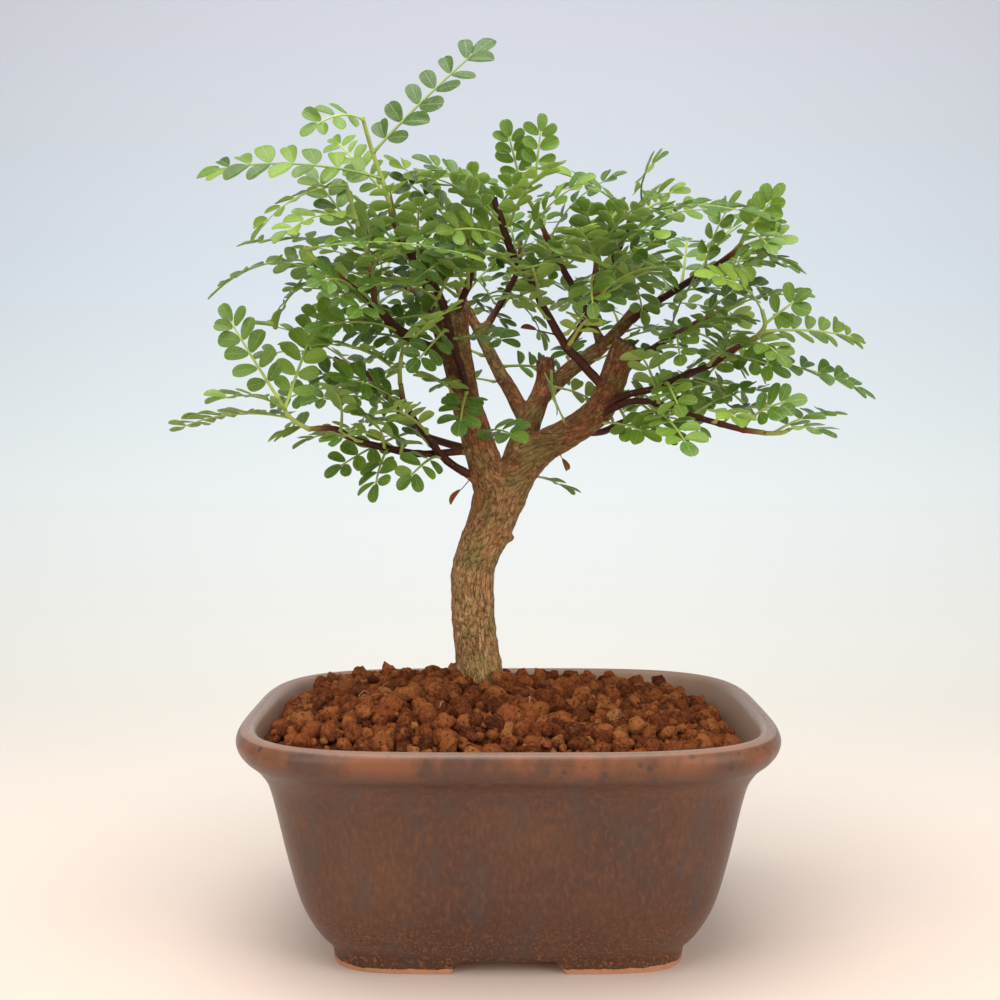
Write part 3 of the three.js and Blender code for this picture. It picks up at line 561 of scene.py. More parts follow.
granuleFinish = makeGranuleMaterial()
soilBed = makeSoilBed()
granuleForms = {}
for kind, (count, firstSeed, step, divisions) in soil["forms"].items():
    granuleForms[kind] = collect(kind + "Forms", [
        granuleForm(f"{kind}Form{k}", firstSeed + step * k, divisions) for k in range(count)])
granuleTree = makeGranuleTree()
for pieceName, (*sizes, seed, form) in soil["granules"].items():
    piece = bpy.data.objects.new(pieceName, soilBed.data.copy())
    bpy.context.collection.objects.link(piece)
    names = ("Gap", "Smallest", "Largest", "Lowest", "Highest")
    values = {key: value * unit for key, value in zip(names, sizes)}
    values.update(Seed=seed, Forms=granuleForms[form], Finish=granuleFinish)
    runTree(piece, granuleTree, values)
    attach(piece, "root")
    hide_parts("soil")
    print(pieceName, len(piece.data.polygons))
storeValues(soilBed.data, "tint", np.full(len(soilBed.data.vertices), 0.1))
soilBed.data.materials.append(granuleFinish)
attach(soilBed, "root")
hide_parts("soil")
print("soil made")


# Wood: centre lines and the radius at each point
limbs = {
    "trunk": ([(-8, 15, 42), (-8, 15, 67), (-9, 15, 76), (-10, 14, 88), (-10, 13, 100), (-8, 12, 107),
               (-5, 12, 114), (-3, 12, 121), (-2, 12, 127)], [5.2, 6.7, 6.3, 6.2, 6.2, 6.4, 6.8, 7.2, 6]),
    "leftBranch": ([(-3, 12, 118), (-6, 9, 130), (-9, 7, 140), (-12, 5, 150), (-14, 3, 161), (-16, 2, 170),
                    (-16, 2, 176)], [5.4, 5, 4.6, 4.2, 4.3, 5.1, 4.9]),
    "rightBranch": ([(-1, 12, 120), (3, 12, 129), (9, 10, 136), (16, 6, 140), (22, 3, 144), (26, 0, 148),
                     (29, -2, 155), (31, -4, 162), (33, -5, 166)],
                    [5.4, 5.4, 4.8, 4.3, 4.2, 4.1, 3.9, 3.7, 3.5]),
    "middleStub": ([(1, 12, 126), (6, 14, 143), (9, 16, 150), (11, 17, 156), (11, 17, 162)],
                   [4.6, 3.8, 3.1, 2.8, 2.8]),
    "backRight": ([(9, 16, 150), (18, 22, 159), (24, 27, 163), (29, 32, 167), (34, 35, 172), (40, 37, 180)],
                  [2.6, 2.5, 2.4, 2.2, 1.9, 1.4]),
    "innerLeft": ([(6, 14, 143), (1, 19, 153), (-2, 22, 158), (-5, 25, 164), (-8, 28, 170), (-12, 32, 178),
                   (-16, 36, 187)], [2.6, 2.3, 2.1, 1.9, 1.7, 1.4, 1]),
    "twigWest": ([(-15, 1, 163), (-20, -5, 164), (-24, -9, 165), (-30, -15, 169), (-35, -20, 174),
                  (-41, -26, 179), (-46, -31, 183)], [1.8, 1.6, 1.5, 1.3, 1.1, 0.9, 0.7]),
    "twigWestFork": ([(-35, -20, 174), (-36, -19, 181), (-37, -18, 187)], [0.9, 0.8, 0.7]),
    "twigFront": ([(-10, 3, 148), (-13, -4, 158), (-16, -8, 169), (-19, -12, 179), (-26, -17, 188),
                   (-30, -20, 196), (-31, -21, 200)], [1.4, 1.2, 1.1, 1.1, 1, 0.9, 0.8]),
    "twigLowMiddle": ([(-8, 8, 127), (-17, 0, 133), (-23, -7, 141), (-28, -12, 149), (-29, -14, 154)],
                      [1.2, 1.1, 0.9, 0.8, 0.7]),
    "twigLowWest": ([(-9, 7, 136), (-22, -2, 135), (-30, -8, 136), (-41, -16, 139), (-46, -20, 142),
                     (-52, -24, 142)], [1.2, 1, 1, 0.9, 0.8, 0.7]),
    "twigBackWest": ([(-8, 8, 135), (-24, 11, 140), (-30, 15, 145), (-34, 18, 150), (-38, 21, 154),
                      (-43, 25, 159), (-52, 30, 163)], [1.2, 1.1, 1, 0.9, 0.9, 0.8, 0.7]),
    "twigRise": ([(28, -2, 152), (20, -9, 160), (16, -12, 164), (10, -17, 173), (6, -20, 181),
                  (1, -22, 188), (-2, -24, 197), (-4, -24, 202)], [1.3, 1.3, 1.2, 1.1, 1, 1, 0.9, 0.8]),
    "twigEast": ([(16, -12, 164), (20, -16, 170), (23, -19, 176), (25, -14, 182), (28, -9, 187),
                  (31, -11, 193), (33, -13, 198), (37, -14, 204)],
                 [1.2, 1.1, 1.1, 0.9, 0.9, 0.8, 0.8, 0.7]),
    "twigEastFork": ([(23, -19, 176), (23, -20, 183), (23, -21, 188)], [0.9, 0.8, 0.7]),
    "twigRight": ([(24, 1, 146), (32, -7, 151), (40, -12, 153), (49, -16, 157), (54, -18, 159),
                   (58, -20, 162), (65, -22, 166)], [1.2, 1, 0.9, 0.9, 0.8, 0.8, 0.7]),
    "twigRightLow": ([(22, 2, 143), (32, -8, 149), (39, -14, 149), (47, -20, 146), (53, -24, 144),
                      (60, -28, 142), (66, -30, 141)], [1.1, 0.9, 0.9, 0.9, 0.8, 0.8, 0.7]),
    "twigRightBack": ([(18, 6, 141), (27, 12, 141), (34, 18, 144), (46, 27, 148), (58, 33, 154)],
                      [1.1, 1, 0.9, 0.8, 0.7]),
    "twigRightRise": ([(30, -3, 157), (40, -3, 164), (50, 2, 170), (60, 7, 175)], [1.2, 1, 0.9, 0.7]),
    "twigCrest": ([(34, 35, 172), (42, 26, 178), (52, 8, 184), (59, -6, 188), (62, -13, 191)],
                  [1.3, 1.1, 1, 0.8, 0.7]),
    "twigTop": ([(29, 32, 167), (22, 28, 180), (14, 20, 193), (9, 14, 202)], [1.2, 1.1, 0.9, 0.7]),
    "twigBackLeft": ([(-15, 4, 168), (-22, 14, 176), (-30, 24, 184), (-38, 31, 190)], [1.3, 1.1, 0.9, 0.7]),
    "twigBackMiddle": ([(-8, 28, 170), (-2, 34, 180), (3, 36, 190), (4, 35, 199)], [1.2, 1, 0.9, 0.7]),
    "twigCentre": ([(-16, 1, 171), (-11, -6, 181), (-10, -9, 190), (-13, -8, 199)], [1.2, 1, 0.9, 0.7]),
}

bark = {
    "heavy": ["trunk", "leftBranch", "rightBranch", "middleStub", "backRight", "innerLeft"],
    "sawn": {"leftBranch": 0.9, "rightBranch": 0.9, "middleStub": 2.6},      # how rough each cut end is
    "sawnReach": 0.7, "sawnFacing": 0.35, "hollow": 0.9,
    "grain": 0.44,          # size of the mesh's faces
    "sides": 26, "steps": 8, "footSides": 14, "footSteps": 3,
    "fissureDepth": 0.38, "lumpDepth": 0.45, "sink": 0.1,
    "smoothBelow": 1.2, "roughOver": 4.5, "leastRough": 0.25,      # thin wood is smoother
    "oldBelow": 145, "oldFade": 45,          # the pale old bark is low on the trunk
    "collarReach": 6.5, "collarSwell": 1.75,      # how far and how thick the bark swells at a twig's foot
    "stretch": 0.3,         # how long the fissures run along the wood
    "blend": 4, "batch": 4000,
    "bumps": [((-4.2, 11, 103.5), 1.6), ((5, 10, 133), 1.9), ((-14, 2, 158), 1.8), ((0.3, 12, 110.5), 1.6)],
    "bumpRings": 8, "bumpSides": 12,
    "scars": [((-11.4, 9, 107.5), 3), ((-6.2, 7, 106.3), 2.6), ((-3.3, 7, 112.7), 2.4), ((-13, 10, 97), 2)],
}


def limbRows(name, steps):
    # a limb's centre line with the radius as a fourth value
    return smoothLine([(*p, r) for p, r in zip(*limbs[name])], steps)


def tubeRings(points, radii, sides, steps):
    rows = smoothLine([(*p, r) for p, r in zip(points, radii)], steps)
    places = [Vector(row[:3]) for row in rows]
    side = Vector((1, 0, 0))
    rings = []
    for k, place in enumerate(places):
        along = (places[min(k + 1, len(places) - 1)] - places[max(k - 1, 0)]).normalized()
        side = side - along * side.dot(along)
        if side.length < 0.1:
            side = Vector((0, 1, 0)) - along * along.y
        side.normalize()
        other = along.cross(side)
        radius = float(rows[k][3])
        rings.append([tuple(place + radius * (side * math.cos(t) + other * math.sin(t)))
                      for t in fullTurn(sides)])
    return rings


def pathLength(points):
    return sum((Vector(b) - Vector(a)).length for a, b in zip(points, points[1:]))


def pointOn(points, share):
    path = [Vector(p) for p in points]
    steps = [(b - a).length for a, b in zip(path, path[1:])]
    left = share * sum(steps)
    k = 0
    while k < len(steps) - 1 and left > steps[k]:
        left -= steps[k]
        k += 1
    return path[k] + (path[k + 1] - path[k]).normalized() * left


def woodGuide():
    # places along the heavy wood with its direction and radius, the height where it starts plus its run,
    # and its name
    guide = []
    for name in bark["heavy"]:
        rows = limbRows(name, bark["steps"])
        run = limbs[name][0][0][2]
        for k, row in enumerate(rows):
            place = Vector(row[:3])
            before = Vector(rows[max(k - 1, 0)][:3])
            after = Vector(rows[min(k + 1, len(rows) - 1)][:3])
            run += (place - before).length
            guide.append((place, (after - before).normalized(), float(row[3]), run, name))
    return guide


def blendGuide(guide, places):
    # the grain of the wood and its radius at each place, blended so that it runs on over the forks
    points, alongs = np.array([row[0] for row in guide]), np.array([row[1] for row in guide])
    radii, runs = np.array([row[2] for row in guide]), np.array([row[3] for row in guide])
    grains, thick = [], []
    for first in range(0, len(places), bark["batch"]):
        beside = places[first:first + bark["batch"], None, :] - points
        weights = (radii ** 2 / (beside ** 2).sum(2)) ** bark["blend"]
        weights /= weights.sum(1, keepdims=True)
        slid = (beside * alongs).sum(2)
        beside -= alongs * slid[:, :, None]
        beside[:, :, 2] += (runs + slid) * bark["stretch"]
        grains.append((beside * weights[:, :, None]).sum(1))
        thick.append((radii * weights).sum(1))
    return np.concatenate(grains), np.concatenate(thick)


def twigFeet():
    # the swollen start of every twig that springs from heavy wood
    feet = []
    guide = woodGuide()
    swell, reach = bark["collarSwell"], bark["collarReach"]
    for name, (points, radii) in limbs.items():
        if name in bark["heavy"]:
            continue
        start = Vector(points[0])
        if min((start - row[0]).length - row[2] for row in guide) > 0:
            continue
        path = [pointOn(points, share * reach / pathLength(points)) for share in (0, 0.35, 0.7, 1)]
        sizes = [radii[0] * swell, radii[0] * (0.4 + 0.6 * swell), radii[0] * 1.1, radii[1] * 0.8]
        feet.append((path, sizes))
    return feet


def ballRings(centre, radius):
    rings = []
    for k in range(1, bark["bumpRings"]):
        tilt = math.pi * k / bark["bumpRings"]
        rings.append([(centre[0] + radius * math.sin(tilt) * math.cos(t),
                       centre[1] + radius * math.sin(tilt) * math.sin(t),
                       centre[2] - radius * math.cos(tilt)) for t in fullTurn(bark["bumpSides"])])
    return rings


def makeBarkWood():
    forms = [tubeRings(*limbs[name], bark["sides"], bark["steps"]) for name in bark["heavy"]]
    forms += [tubeRings(path, sizes, bark["footSides"], bark["footSteps"]) for path, sizes in twigFeet()]
    forms += [ballRings(centre, radius) for centre, radius in bark["bumps"]]
    points, faces = [], []
    for rings in forms:
        more, moreFaces = loftRings(rings)
        faces += [tuple(i + len(points) for i in face) for face in moreFaces]
        points += more
    wood = addObject("barkWood", points, faces)
    modifier = wood.modifiers.new("oneSkin", "REMESH")
    modifier.mode = "VOXEL"
    modifier.voxel_size = bark["grain"] * unit
    modifier.use_smooth_shade = True
    return bakeModifiers(wood)


def sawnEnds():
    # where each sawn limb ends, the way it points, and how rough the cut is
    ends = {}
    for name, rough in bark["sawn"].items():
        before, last = [Vector(p) for p in limbs[name][0][-2:]]
        ends[name] = (last, (last - before).normalized(), rough)
    return ends


def vertexValues(mesh, key):
    values = np.empty(len(mesh.vertices) * 3, np.float32)
    mesh.vertices.foreach_get(key, values)
    return values.reshape(-1, 3)


def carveBark(wood):
    guide, ends = woodGuide(), sawnEnds()
    tree = kdtree.KDTree(len(guide))
    for k, row in enumerate(guide):
        tree.insert(row[0], k)
    tree.balance()
    mesh = wood.data
    places, normals = vertexValues(mesh, "co") / unit, vertexValues(mesh, "normal")
    grains, thick = blendGuide(guide, places)
    sawn, ages, scars = [], [], []
    moved = places.copy()
    for k in range(len(places)):
        spot, grain, out = Vector(places[k]), Vector(grains[k]), Vector(normals[k])
        row = guide[tree.find(spot)[1]]
        cut = False
        if row[4] in ends:
            end, axis, rough = ends[row[4]]
            cut = (spot - end).dot(axis) > -bark["sawnReach"] and out.dot(axis) > bark["sawnFacing"]
        if cut:
            # a sawn face: hollow in the middle and rough, ragged on the broken stub
            share = min(1, (spot - end - axis * (spot - end).dot(axis)).length / row[2])
            depth = rough * noise.noise(spot * 0.75) - bark["hollow"] * (1 - share ** 3)
            out = axis
        else:
            # long fissures, finer grain between them, and broad lumps
            age = min(1.0, max(bark["leastRough"], (thick[k] - bark["smoothBelow"]) / bark["roughOver"]))
            ridge = 1 - 2.2 * abs(noise.noise(grain * 0.75))
            fine = noise.noise(grain * 1.7 + Vector((9, 0, 0)))
            lump = noise.noise(spot * 0.11) + 0.5 * noise.noise(spot * 0.33)
            depth = age * (bark["fissureDepth"] * (0.6 * ridge + 0.4 * fine) + bark["lumpDepth"] * lump)
        moved[k] += np.array(out) * (depth - bark["sink"])
        sawn.append(1.0 if cut else 0.0)
        ages.append(min(1.0, max(0.0, (bark["oldBelow"] - spot.z) / bark["oldFade"])))
        nearest = max(1 - (spot - Vector(place)).length / reach for place, reach in bark["scars"])
        scars.append(max(0.0, nearest))
    mesh.vertices.foreach_set("co", (moved * unit).ravel())
    storeValues(mesh, "grain", grains * 0.1)
    storeValues(mesh, "sawn", sawn)
    storeValues(mesh, "age", ages)
    storeValues(mesh, "scar", scars)
    mesh.update()


def makeBarkMaterial():
    material, tree, shader = newMaterial("fissuredBark")
    place = objectPlace(tree)
    grain = addNode(tree, "ShaderNodeAttribute", attribute_name="grain").outputs["Vector"]
    # plates with wavering edges
    wavy = {"Vector": grain, "Scale": 9.0, "Detail": 2.0}
    wavy = addNode(tree, "ShaderNodeTexNoise", wavy).outputs["Color"]
    wavy = made(tree, "ShaderNodeVectorMath", {0: wavy, 1: (0.16, 0.16, 0.16)}, operation="MULTIPLY")
    wavy = made(tree, "ShaderNodeVectorMath", {0: grain, 1: wavy}, operation="ADD")
    plates = cellsAt(tree, wavy, 7.5, "DISTANCE_TO_EDGE")
    fibres = mixValues(tree, 0.62, noiseAt(tree, grain, 14, 6, 0.7), noiseAt(tree, place, 600, 5, 0.7))
    broad = noiseAt(tree, place, 110, 4, 0.65)
    flakes = noiseAt(tree, place, 820, 2, 0.5)
    cracks = noiseAt(tree, grain, 22, 3, 0.6)
    oldBark = ramp(tree, fibres, [(0.34, "775737"), (0.44, "b08352"), (0.54, "d4a66d"), (0.66, "f4d6a8")])
    youngBark = ramp(tree, fibres, [(0.34, "3f2412"), (0.46, "6f4324"), (0.56, "8f5c36"), (0.68, "bd8a58")])
    color = mixColors(tree, readValue(tree, "age"), youngBark, oldBark)
    color = tinted(tree, color, broad, (0.48, 0.62, 0, 0.6), "8d8850")   # olive lichen film
    color = tinted(tree, color, broad, (0.46, 0.34, 0, 0.6), "b0714a")
    color = tinted(tree, color, flakes, (0.62, 0.7, 0, 0.36), "d6b88e")
    color = tinted(tree, color, cracks, (0.43, 0.36, 0, 0.7), "4a3522")
    color = tinted(tree, color, plates, (0.1, 0.02, 0, 0.6), "4c3520")
    # bare scars, and a green film where the trunk leaves the soil
    scars = compute(tree, "MULTIPLY", readValue(tree, "scar"), between(tree, flakes, 0.35, 0.65, 0.2, 1.6))
    color = tinted(tree, color, scars, (0.2, 0.8, 0, 0.8), "c58a6c")
    film = between(tree, heightOf(tree, place), 0.077, 0.068, 0, 0.5)
    color = mixColors(tree, compute(tree, "MULTIPLY", film, flakes), color, paint("a39a45"))
    sawnWood = ramp(tree, flakes, [(0.35, "3a2820"), (0.6, "6e5142")])
    normal = bumpUp(tree, fibres, 1.0, 0.7)
    normal = bumpUp(tree, cracks, 0.7, 0.5, normal)
    normal = bumpUp(tree, between(tree, plates, 0.0, 0.12), 0.6, 0.35, normal)
    setInputs(tree, shader, {
        "Base Color": mixColors(tree, readValue(tree, "sawn"), color, sawnWood),
        "Roughness": 0.88, "Specular IOR Level": 0.3, "Normal": bumpUp(tree, flakes, 0.5, 0.3, normal)})
    return material


barkWood = makeBarkWood()
carveBark(barkWood)
barkWood.data.materials.clear()
barkWood.data.materials.append(makeBarkMaterial())
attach(barkWood, "root")
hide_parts("trunk_and_branches")
print("bark made", len(barkWood.data.polygons))


# Foliage: shoots and single leaves, given by base, tip, facing, rise, pairs and leaflet length
foliage = {
    "ribWidth": 1.2, "pairPitch": 7.5, "stalk": 5.5, "leaflet": 6.4, "longest": 7.4, "spacing": 0.78,
    "wide": 0.64, "plainFold": 0.3, "ribSpots": 12, "lastSpot": 0.97, "stemSizes": [0.7, 0.7, 0.7, 0.6],
    "stalkShare": 0.3, "tipRoom": 0.04,
    "forward": (0.42, 0.22), "lengths": (0.76, 0.24),      # leaflets lean forward, and are longest midway
    # leaves by rule: least, and how much more at most
    "heading": (0.35, 0.9), "lift": (-0.15, 0.6), "rise": (2, 2), "length": (30, 9), "tilt": (0.6, 0.6),
    "pairsFrom": 13, "used": 0.96,
    # room round each leaf and its wood, and how a leaf is turned until it has that
    "reach": 1.15, "woodRoom": 0.3, "offWood": 0.45, "pathStep": 1.2, "stemNear": 8, "farReach": 12,
    "tries": 80, "bendStep": 0.085, "bendTurn": 2.4,
    "crown": (92, 54, 50), "crownMiddle": (0, 2, 178), "shortest": 22,
    # the finely shaped leaflets
    "fineLeaflet": 6.2, "finePitch": 0.78,      # pitch of the pairs as a share of a leaflet's length
    "fold": 0.02, "foldMore": 0.3, "shift": 0.012, "turnSpread": 0.36, "twistSpread": 0.5,
    "sink": 0.2, "smallest": 0.92, "sizeSpread": 0.2, "toneSpread": 0.12,
    "ribSteps": 14, "ribRadius": 0.5, "ribTaper": 0.24, "ribFoot": 0.2, "stalkFoot": 0.62,
    "ribPast": 0.02, "stemRadius": 0.8, "stemTaper": 0.22, "stemSteps": 5, "flatness": 0.6,
    "leafSeed": 17, "pieceSeed": 31,
    "tones": {"dark": 0.0, "leaf": 0.34, "olive": 0.6, "young": 1.0},
    "slots": {"dark": "dark_leaf", "leaf": "green_leaf", "olive": "olive_leaf", "young": "young_leaf"},
}
shoots = {
    "crown_peak": ([(-31.2, -21, 201), (-33, -20.5, 207), (-35.8, -20.5, 215), (-38, -22, 223)], [
        (0.6, (-4, -10, 247), (-0.44, -0.82, 0.34), 1, 5, 8, "dark"),
        (0.3, (-84, -12, 210), (0.1, -0.7, 0.7), 4, 6, 7.4, "dark"),
        (0.97, (-53, -33, 215), (-0.3, -0.9, 0.3), 4, 3, 5.6, "young"),
        (0.08, (-49, 2, 223), (-0.2, -0.8, 0.5), 1, 5, 5.6, "young")]),
    "left_high": ([(-37, -18, 187.5), (-39, -19, 193), (-41, -18, 200), (-43, -18, 207)], [
        (0.96, (-70, -31, 200), (0, -0.2, 1), 4, 5, 6, "olive"),
        (0.5, (-65, -38, 194), (0, -0.3, 1), 4, 5, 6, "olive"),
        (0.15, (-73, -14, 191), (0, -0.3, 1), 2, 6, 6, "leaf"),
        (0.1, (-55, -4, 211), (0.2, -0.9, 0.3), 1, 4, 6.4, "dark")]),
    "left_middle": ([(-46.4, -31.4, 183.2), (-49, -33, 185), (-52, -34, 188)], [
        (0.3, (-76, -37, 174), (0.1, -0.1, 1), 4, 5, 6.6, "dark"),
        (0.9, (-6, -40, 184), (0, -0.4, 1), 3, 7, 5.6, "leaf")]),
    "left_low": ([(-52.4, -24.3, 142), (-57, -25.5, 145), (-60, -26, 150)], [
        (0.98, (-76, -20, 175), (-0.2, -0.9, 0.2), 1, 5, 6.4, "young"),
        (0.72, (-53, -15, 181), (0, -1, 0.1), 1, 5, 6.2, "young"),
        (0.45, (-99, 20, 141), (0.1, 0, 1), 3, 6, 6.4, "leaf"),
        (0.7, (-76, -46, 151), (0, -0.2, 1), 3, 4, 6, "dark")]),
    "low_middle": ([(-29.1, -14.2, 154.5), (-29, -15, 159), (-28, -17, 164)], [
        (0.2, (-50, -38, 163), (0, -0.3, 1), 3, 5, 6, "leaf"),
        (0.75, (-12, -44, 172), (0, -0.5, 0.8), 2, 5, 6, "leaf")]),
    "top_middle": ([(8.8, 13.6, 202.5), (6.5, 9, 206), (4, 5, 209), (8, 1, 211)], [
        (0.66, (-1, 2, 228), (0, -1, 0.1), 1, 4, 5.2, "young"),
        (0.95, (9.5, -1, 229), (0.1, -1, 0.1), 1, 3, 5.2, "young"),
        (0.4, (-26, 2, 214), (0, -0.3, 1), 2, 5, 6, "leaf"),
        (0.2, (22, 30, 214), (0, 0.2, 1), 2, 4, 6, "leaf")]),
    "crest": ([(62.3, -13.5, 191.3), (63, -17, 194), (64, -20, 196)], [
        (0.1, (72, -22, 206), (-0.4, -0.9, 0.2), 0.5, 4, 5.6, "young"),
        (0.6, (68, -36, 187), (0.1, -0.75, 0.65), 1.5, 3, 5.6, "young"),
        (0.95, (74, 8, 198), (0.2, -0.2, 1), 2, 4, 6, "leaf")]),
    "right": ([(65.3, -22.2, 166.3), (67, -24, 169), (66, -25, 173)], [
        (0.9, (46, -35, 180), (0.2, -0.6, 0.9), 4, 4, 7, "olive"),
        (0.5, (77.5, -31, 177.5), (-0.2, -0.8, 0.4), 0.5, 2, 5.6, "young"),
        (0.2, (98, -6, 166), (0.1, -0.75, 0.65), 2, 5, 6, "olive")]),
    "right_low": ([(66.4, -30.1, 140.9), (70, -31.5, 141), (72, -33, 142)], [
        (0.9, (81, -44, 139), (0, -0.2, 1), 2, 2, 6, "dark"),
        (0.3, (90, -14, 146), (0, -0.3, 1), 2, 4, 6, "leaf")]),
}
singles = {
    "hanging_left": ("twigLowWest", 0.55, (-35, -28, 123), (-0.4, -0.9, 0), 1, 3),
    "branch_front": ("twigFront", 0.1, (-13, -25, 140), (0, -0.7, 0.7), 2, 4),
    "across_stub": ("twigFront", 0.36, (3, -24, 163), (0, -0.5, 1), 2, 4),
    "behind_fork": ("rightBranch", 0.18, (20, 29, 122), (0.2, 0, 1), 1, 2),
    "hanging_fork": ("middleStub", 0.9, (21, 2, 138), (0.9, -0.3, 0.2), 3, 3),
    "top_right_in": ("twigEast", 0.88, (4, -22, 210), (0, -0.4, 1), 3, 5),
    "top_right_out": ("twigEast", 0.9, (67, -28, 188), (0.1, -0.4, 1), 3, 5),
    "right_long": ("twigRight", 0.8, (98.5, -17, 150), (0.1, -0.5, 1), 3, 5),
    "right_drop": ("twigRightLow", 0.4, (52, -42, 131), (0, -0.3, 1), 2, 4),
}
# how many more leaves each twig carries, and the share of it that stays bare
leafyTwigs = {
    "twigWest": (1, 0.4), "twigFront": (2, 0.4), "twigLowWest": (1, 0.4), "twigBackWest": (2, 0.4),
    "twigRise": (3, 0.45), "twigEast": (1, 0.35), "twigEastFork": (1, 0.8), "twigRight": (2, 0.3),
    "twigRightLow": (1, 0.6), "twigRightBack": (2, 0.4), "twigRightRise": (2, 0.4), "twigCrest": (3, 0.3),
    "twigTop": (2, 0.4), "twigBackLeft": (3, 0.4), "twigBackMiddle": (2, 0.5), "twigCentre": (3, 0.3),
    "innerLeft": (1, 0.9),
}
# places on a leaflet that are kept clear, as shares of its length and half width
bladeSpots = [(0.35, 0), (0.7, 0), (1, 0), (0.58, -0.8), (0.58, 0.8)]


def ribFrame(leaf, t):
    # a place on a leaf's arched rib, with the rib's direction, the way it faces and its side
    base, tip = leaf["base"], leaf["tip"]
    reach = tip - base
    face = (leaf["face"] - reach * (leaf["face"].dot(reach) / reach.length_squared)).normalized()
    bend = base + reach * 0.5 + face * (2 * leaf["rise"])
    point = base * (1 - t) ** 2 + bend * (2 * t * (1 - t)) + tip * t ** 2
    along = ((bend - base) * (1 - t) + (tip - bend) * t).normalized()
    normal = (face - along * face.dot(along)).normalized()
    return point, along, normal, along.cross(normal)


def leafStations(leaf):
    # where on the rib the end leaflet and the pairs spring
    length = (leaf["tip"] - leaf["base"]).length
    last = 1 - leaf["leaflet"] / length
    first = min(foliage["stalkShare"], leaf["stalk"] / length)
    room, count = last - foliage["tipRoom"] - first, leaf["pairs"]
    return last, [first + room * k / (count - 1) for k in range(count)]


def leafletFrame(leaf, k, t, side, fold=None):
    point, ribAlong, ribNormal, ribAcross = ribFrame(leaf, t)
    fold = leaf["fold"] if fold is None else fold
    (least, more), (short, rest) = foliage["forward"], foliage["lengths"]
    forward = least + more * k / leaf["pairs"]
    out = ribAcross * (side * math.cos(fold)) + ribNormal * math.sin(fold)
    normal = ribNormal * math.cos(fold) - ribAcross * (side * math.sin(fold))
    along = out * math.cos(forward) + ribAlong * math.sin(forward)
    length = leaf["leaflet"] * (short + rest * math.sin(math.pi * (k + 0.9) / (leaf["pairs"] + 0.8)))
    root = point + ribAcross * (side * foliage["ribWidth"] / 2)
    return root, along, normal, along.cross(normal), length


def bladeSpread(root, along, across, length, width):
    return [root + along * (share * length) + across * (turn * width / 2) for share, turn in bladeSpots]


def leafSpots(leaf):
    last, pairs = leafStations(leaf)
    count, wide, size = foliage["ribSpots"], leaf["wide"], leaf["leaflet"]
    spots = [ribFrame(leaf, last * (k + 1) / count)[0] for k in range(count)]
    for k, t in enumerate(pairs):
        for side in (-1, 1):
            root, along, normal, across, length = leafletFrame(leaf, k, t, side)
            spots += bladeSpread(root, along, across, length, length * wide)
    point, along, normal, across = ribFrame(leaf, last)
    return spots + bladeSpread(point, along, across, size, size * wide)


obstacles = {"spots": [], "reaches": [], "owners": []}


def addObstacles(spots, reach, owner):
    # wood, stems and leaves that later leaves keep clear of
    obstacles["spots"] += [tuple(s) for s in spots]
    obstacles["reaches"] += [reach] * len(spots)
    obstacles["owners"] += [owner] * len(spots)


def addPath(points, radii, owner):
    for k in range(len(points) - 1):
        a, b = Vector(points[k]), Vector(points[k + 1])
        steps = math.ceil((b - a).length / foliage["pathStep"])
        spots = [a.lerp(b, n / steps) for n in range(steps + 1)]
        addObstacles(spots, radii[k] + foliage["woodRoom"], owner)


def clearance(leaf, nearSpots, nearReaches, enough):
    least = math.inf
    for spot in leafSpots(leaf):
        room = np.sqrt(((nearSpots - np.array(spot)) ** 2).sum(1)) - nearReaches
        least = min(least, float(room.min()) - foliage["reach"])
        if least < enough:
            return least
    return least


def bendClear(leaf, owner):
    # turns the leaf about its base a little further each try, until it is clear of its neighbours
    reach = leaf["tip"] - leaf["base"]
    side = up.cross(reach).normalized()
    spots = np.array(obstacles["spots"])
    apart = np.sqrt(((spots - np.array(leaf["base"])) ** 2).sum(1))
    same = np.array([other == owner for other in obstacles["owners"]])
    near = (apart > np.where(same, foliage["stemNear"], 0)) & (apart < reach.length + foliage["farReach"])
    nearSpots, nearReaches = spots[near], np.array(obstacles["reaches"])[near]
    best, most = leaf, -math.inf
    for k in range(foliage["tries"]):
        if most >= 0:
            break
        swing, heading = foliage["bendStep"] * math.sqrt(k), k * foliage["bendTurn"]
        turn = Quaternion(up, swing * math.cos(heading)) @ Quaternion(side, swing * math.sin(heading))
        tried = {**leaf, "tip": leaf["base"] + turn @ reach, "face": turn @ leaf["face"]}
        room = clearance(tried, nearSpots, nearReaches, most)
        if room > most:
            best, most = tried, room
    addObstacles(leafSpots(best), foliage["reach"], owner)
    best["room"] = most
    return best


def offBark(limb, share, tip):
    # the place on a limb's skin where a leaf that reaches for its tip comes out
    spot = pointOn(limbs[limb][0], share)
    away = (tip - spot).normalized()
    wood = [k for k, owner in enumerate(obstacles["owners"]) if owner == "wood"]
    spots = np.array([obstacles["spots"][k] for k in wood])
    reaches = np.array([obstacles["reaches"][k] for k in wood]) + foliage["offWood"]
    while (np.sqrt(((spots - np.array(spot)) ** 2).sum(1)) < reaches).any():
        spot = spot + away * 0.1
    return spot


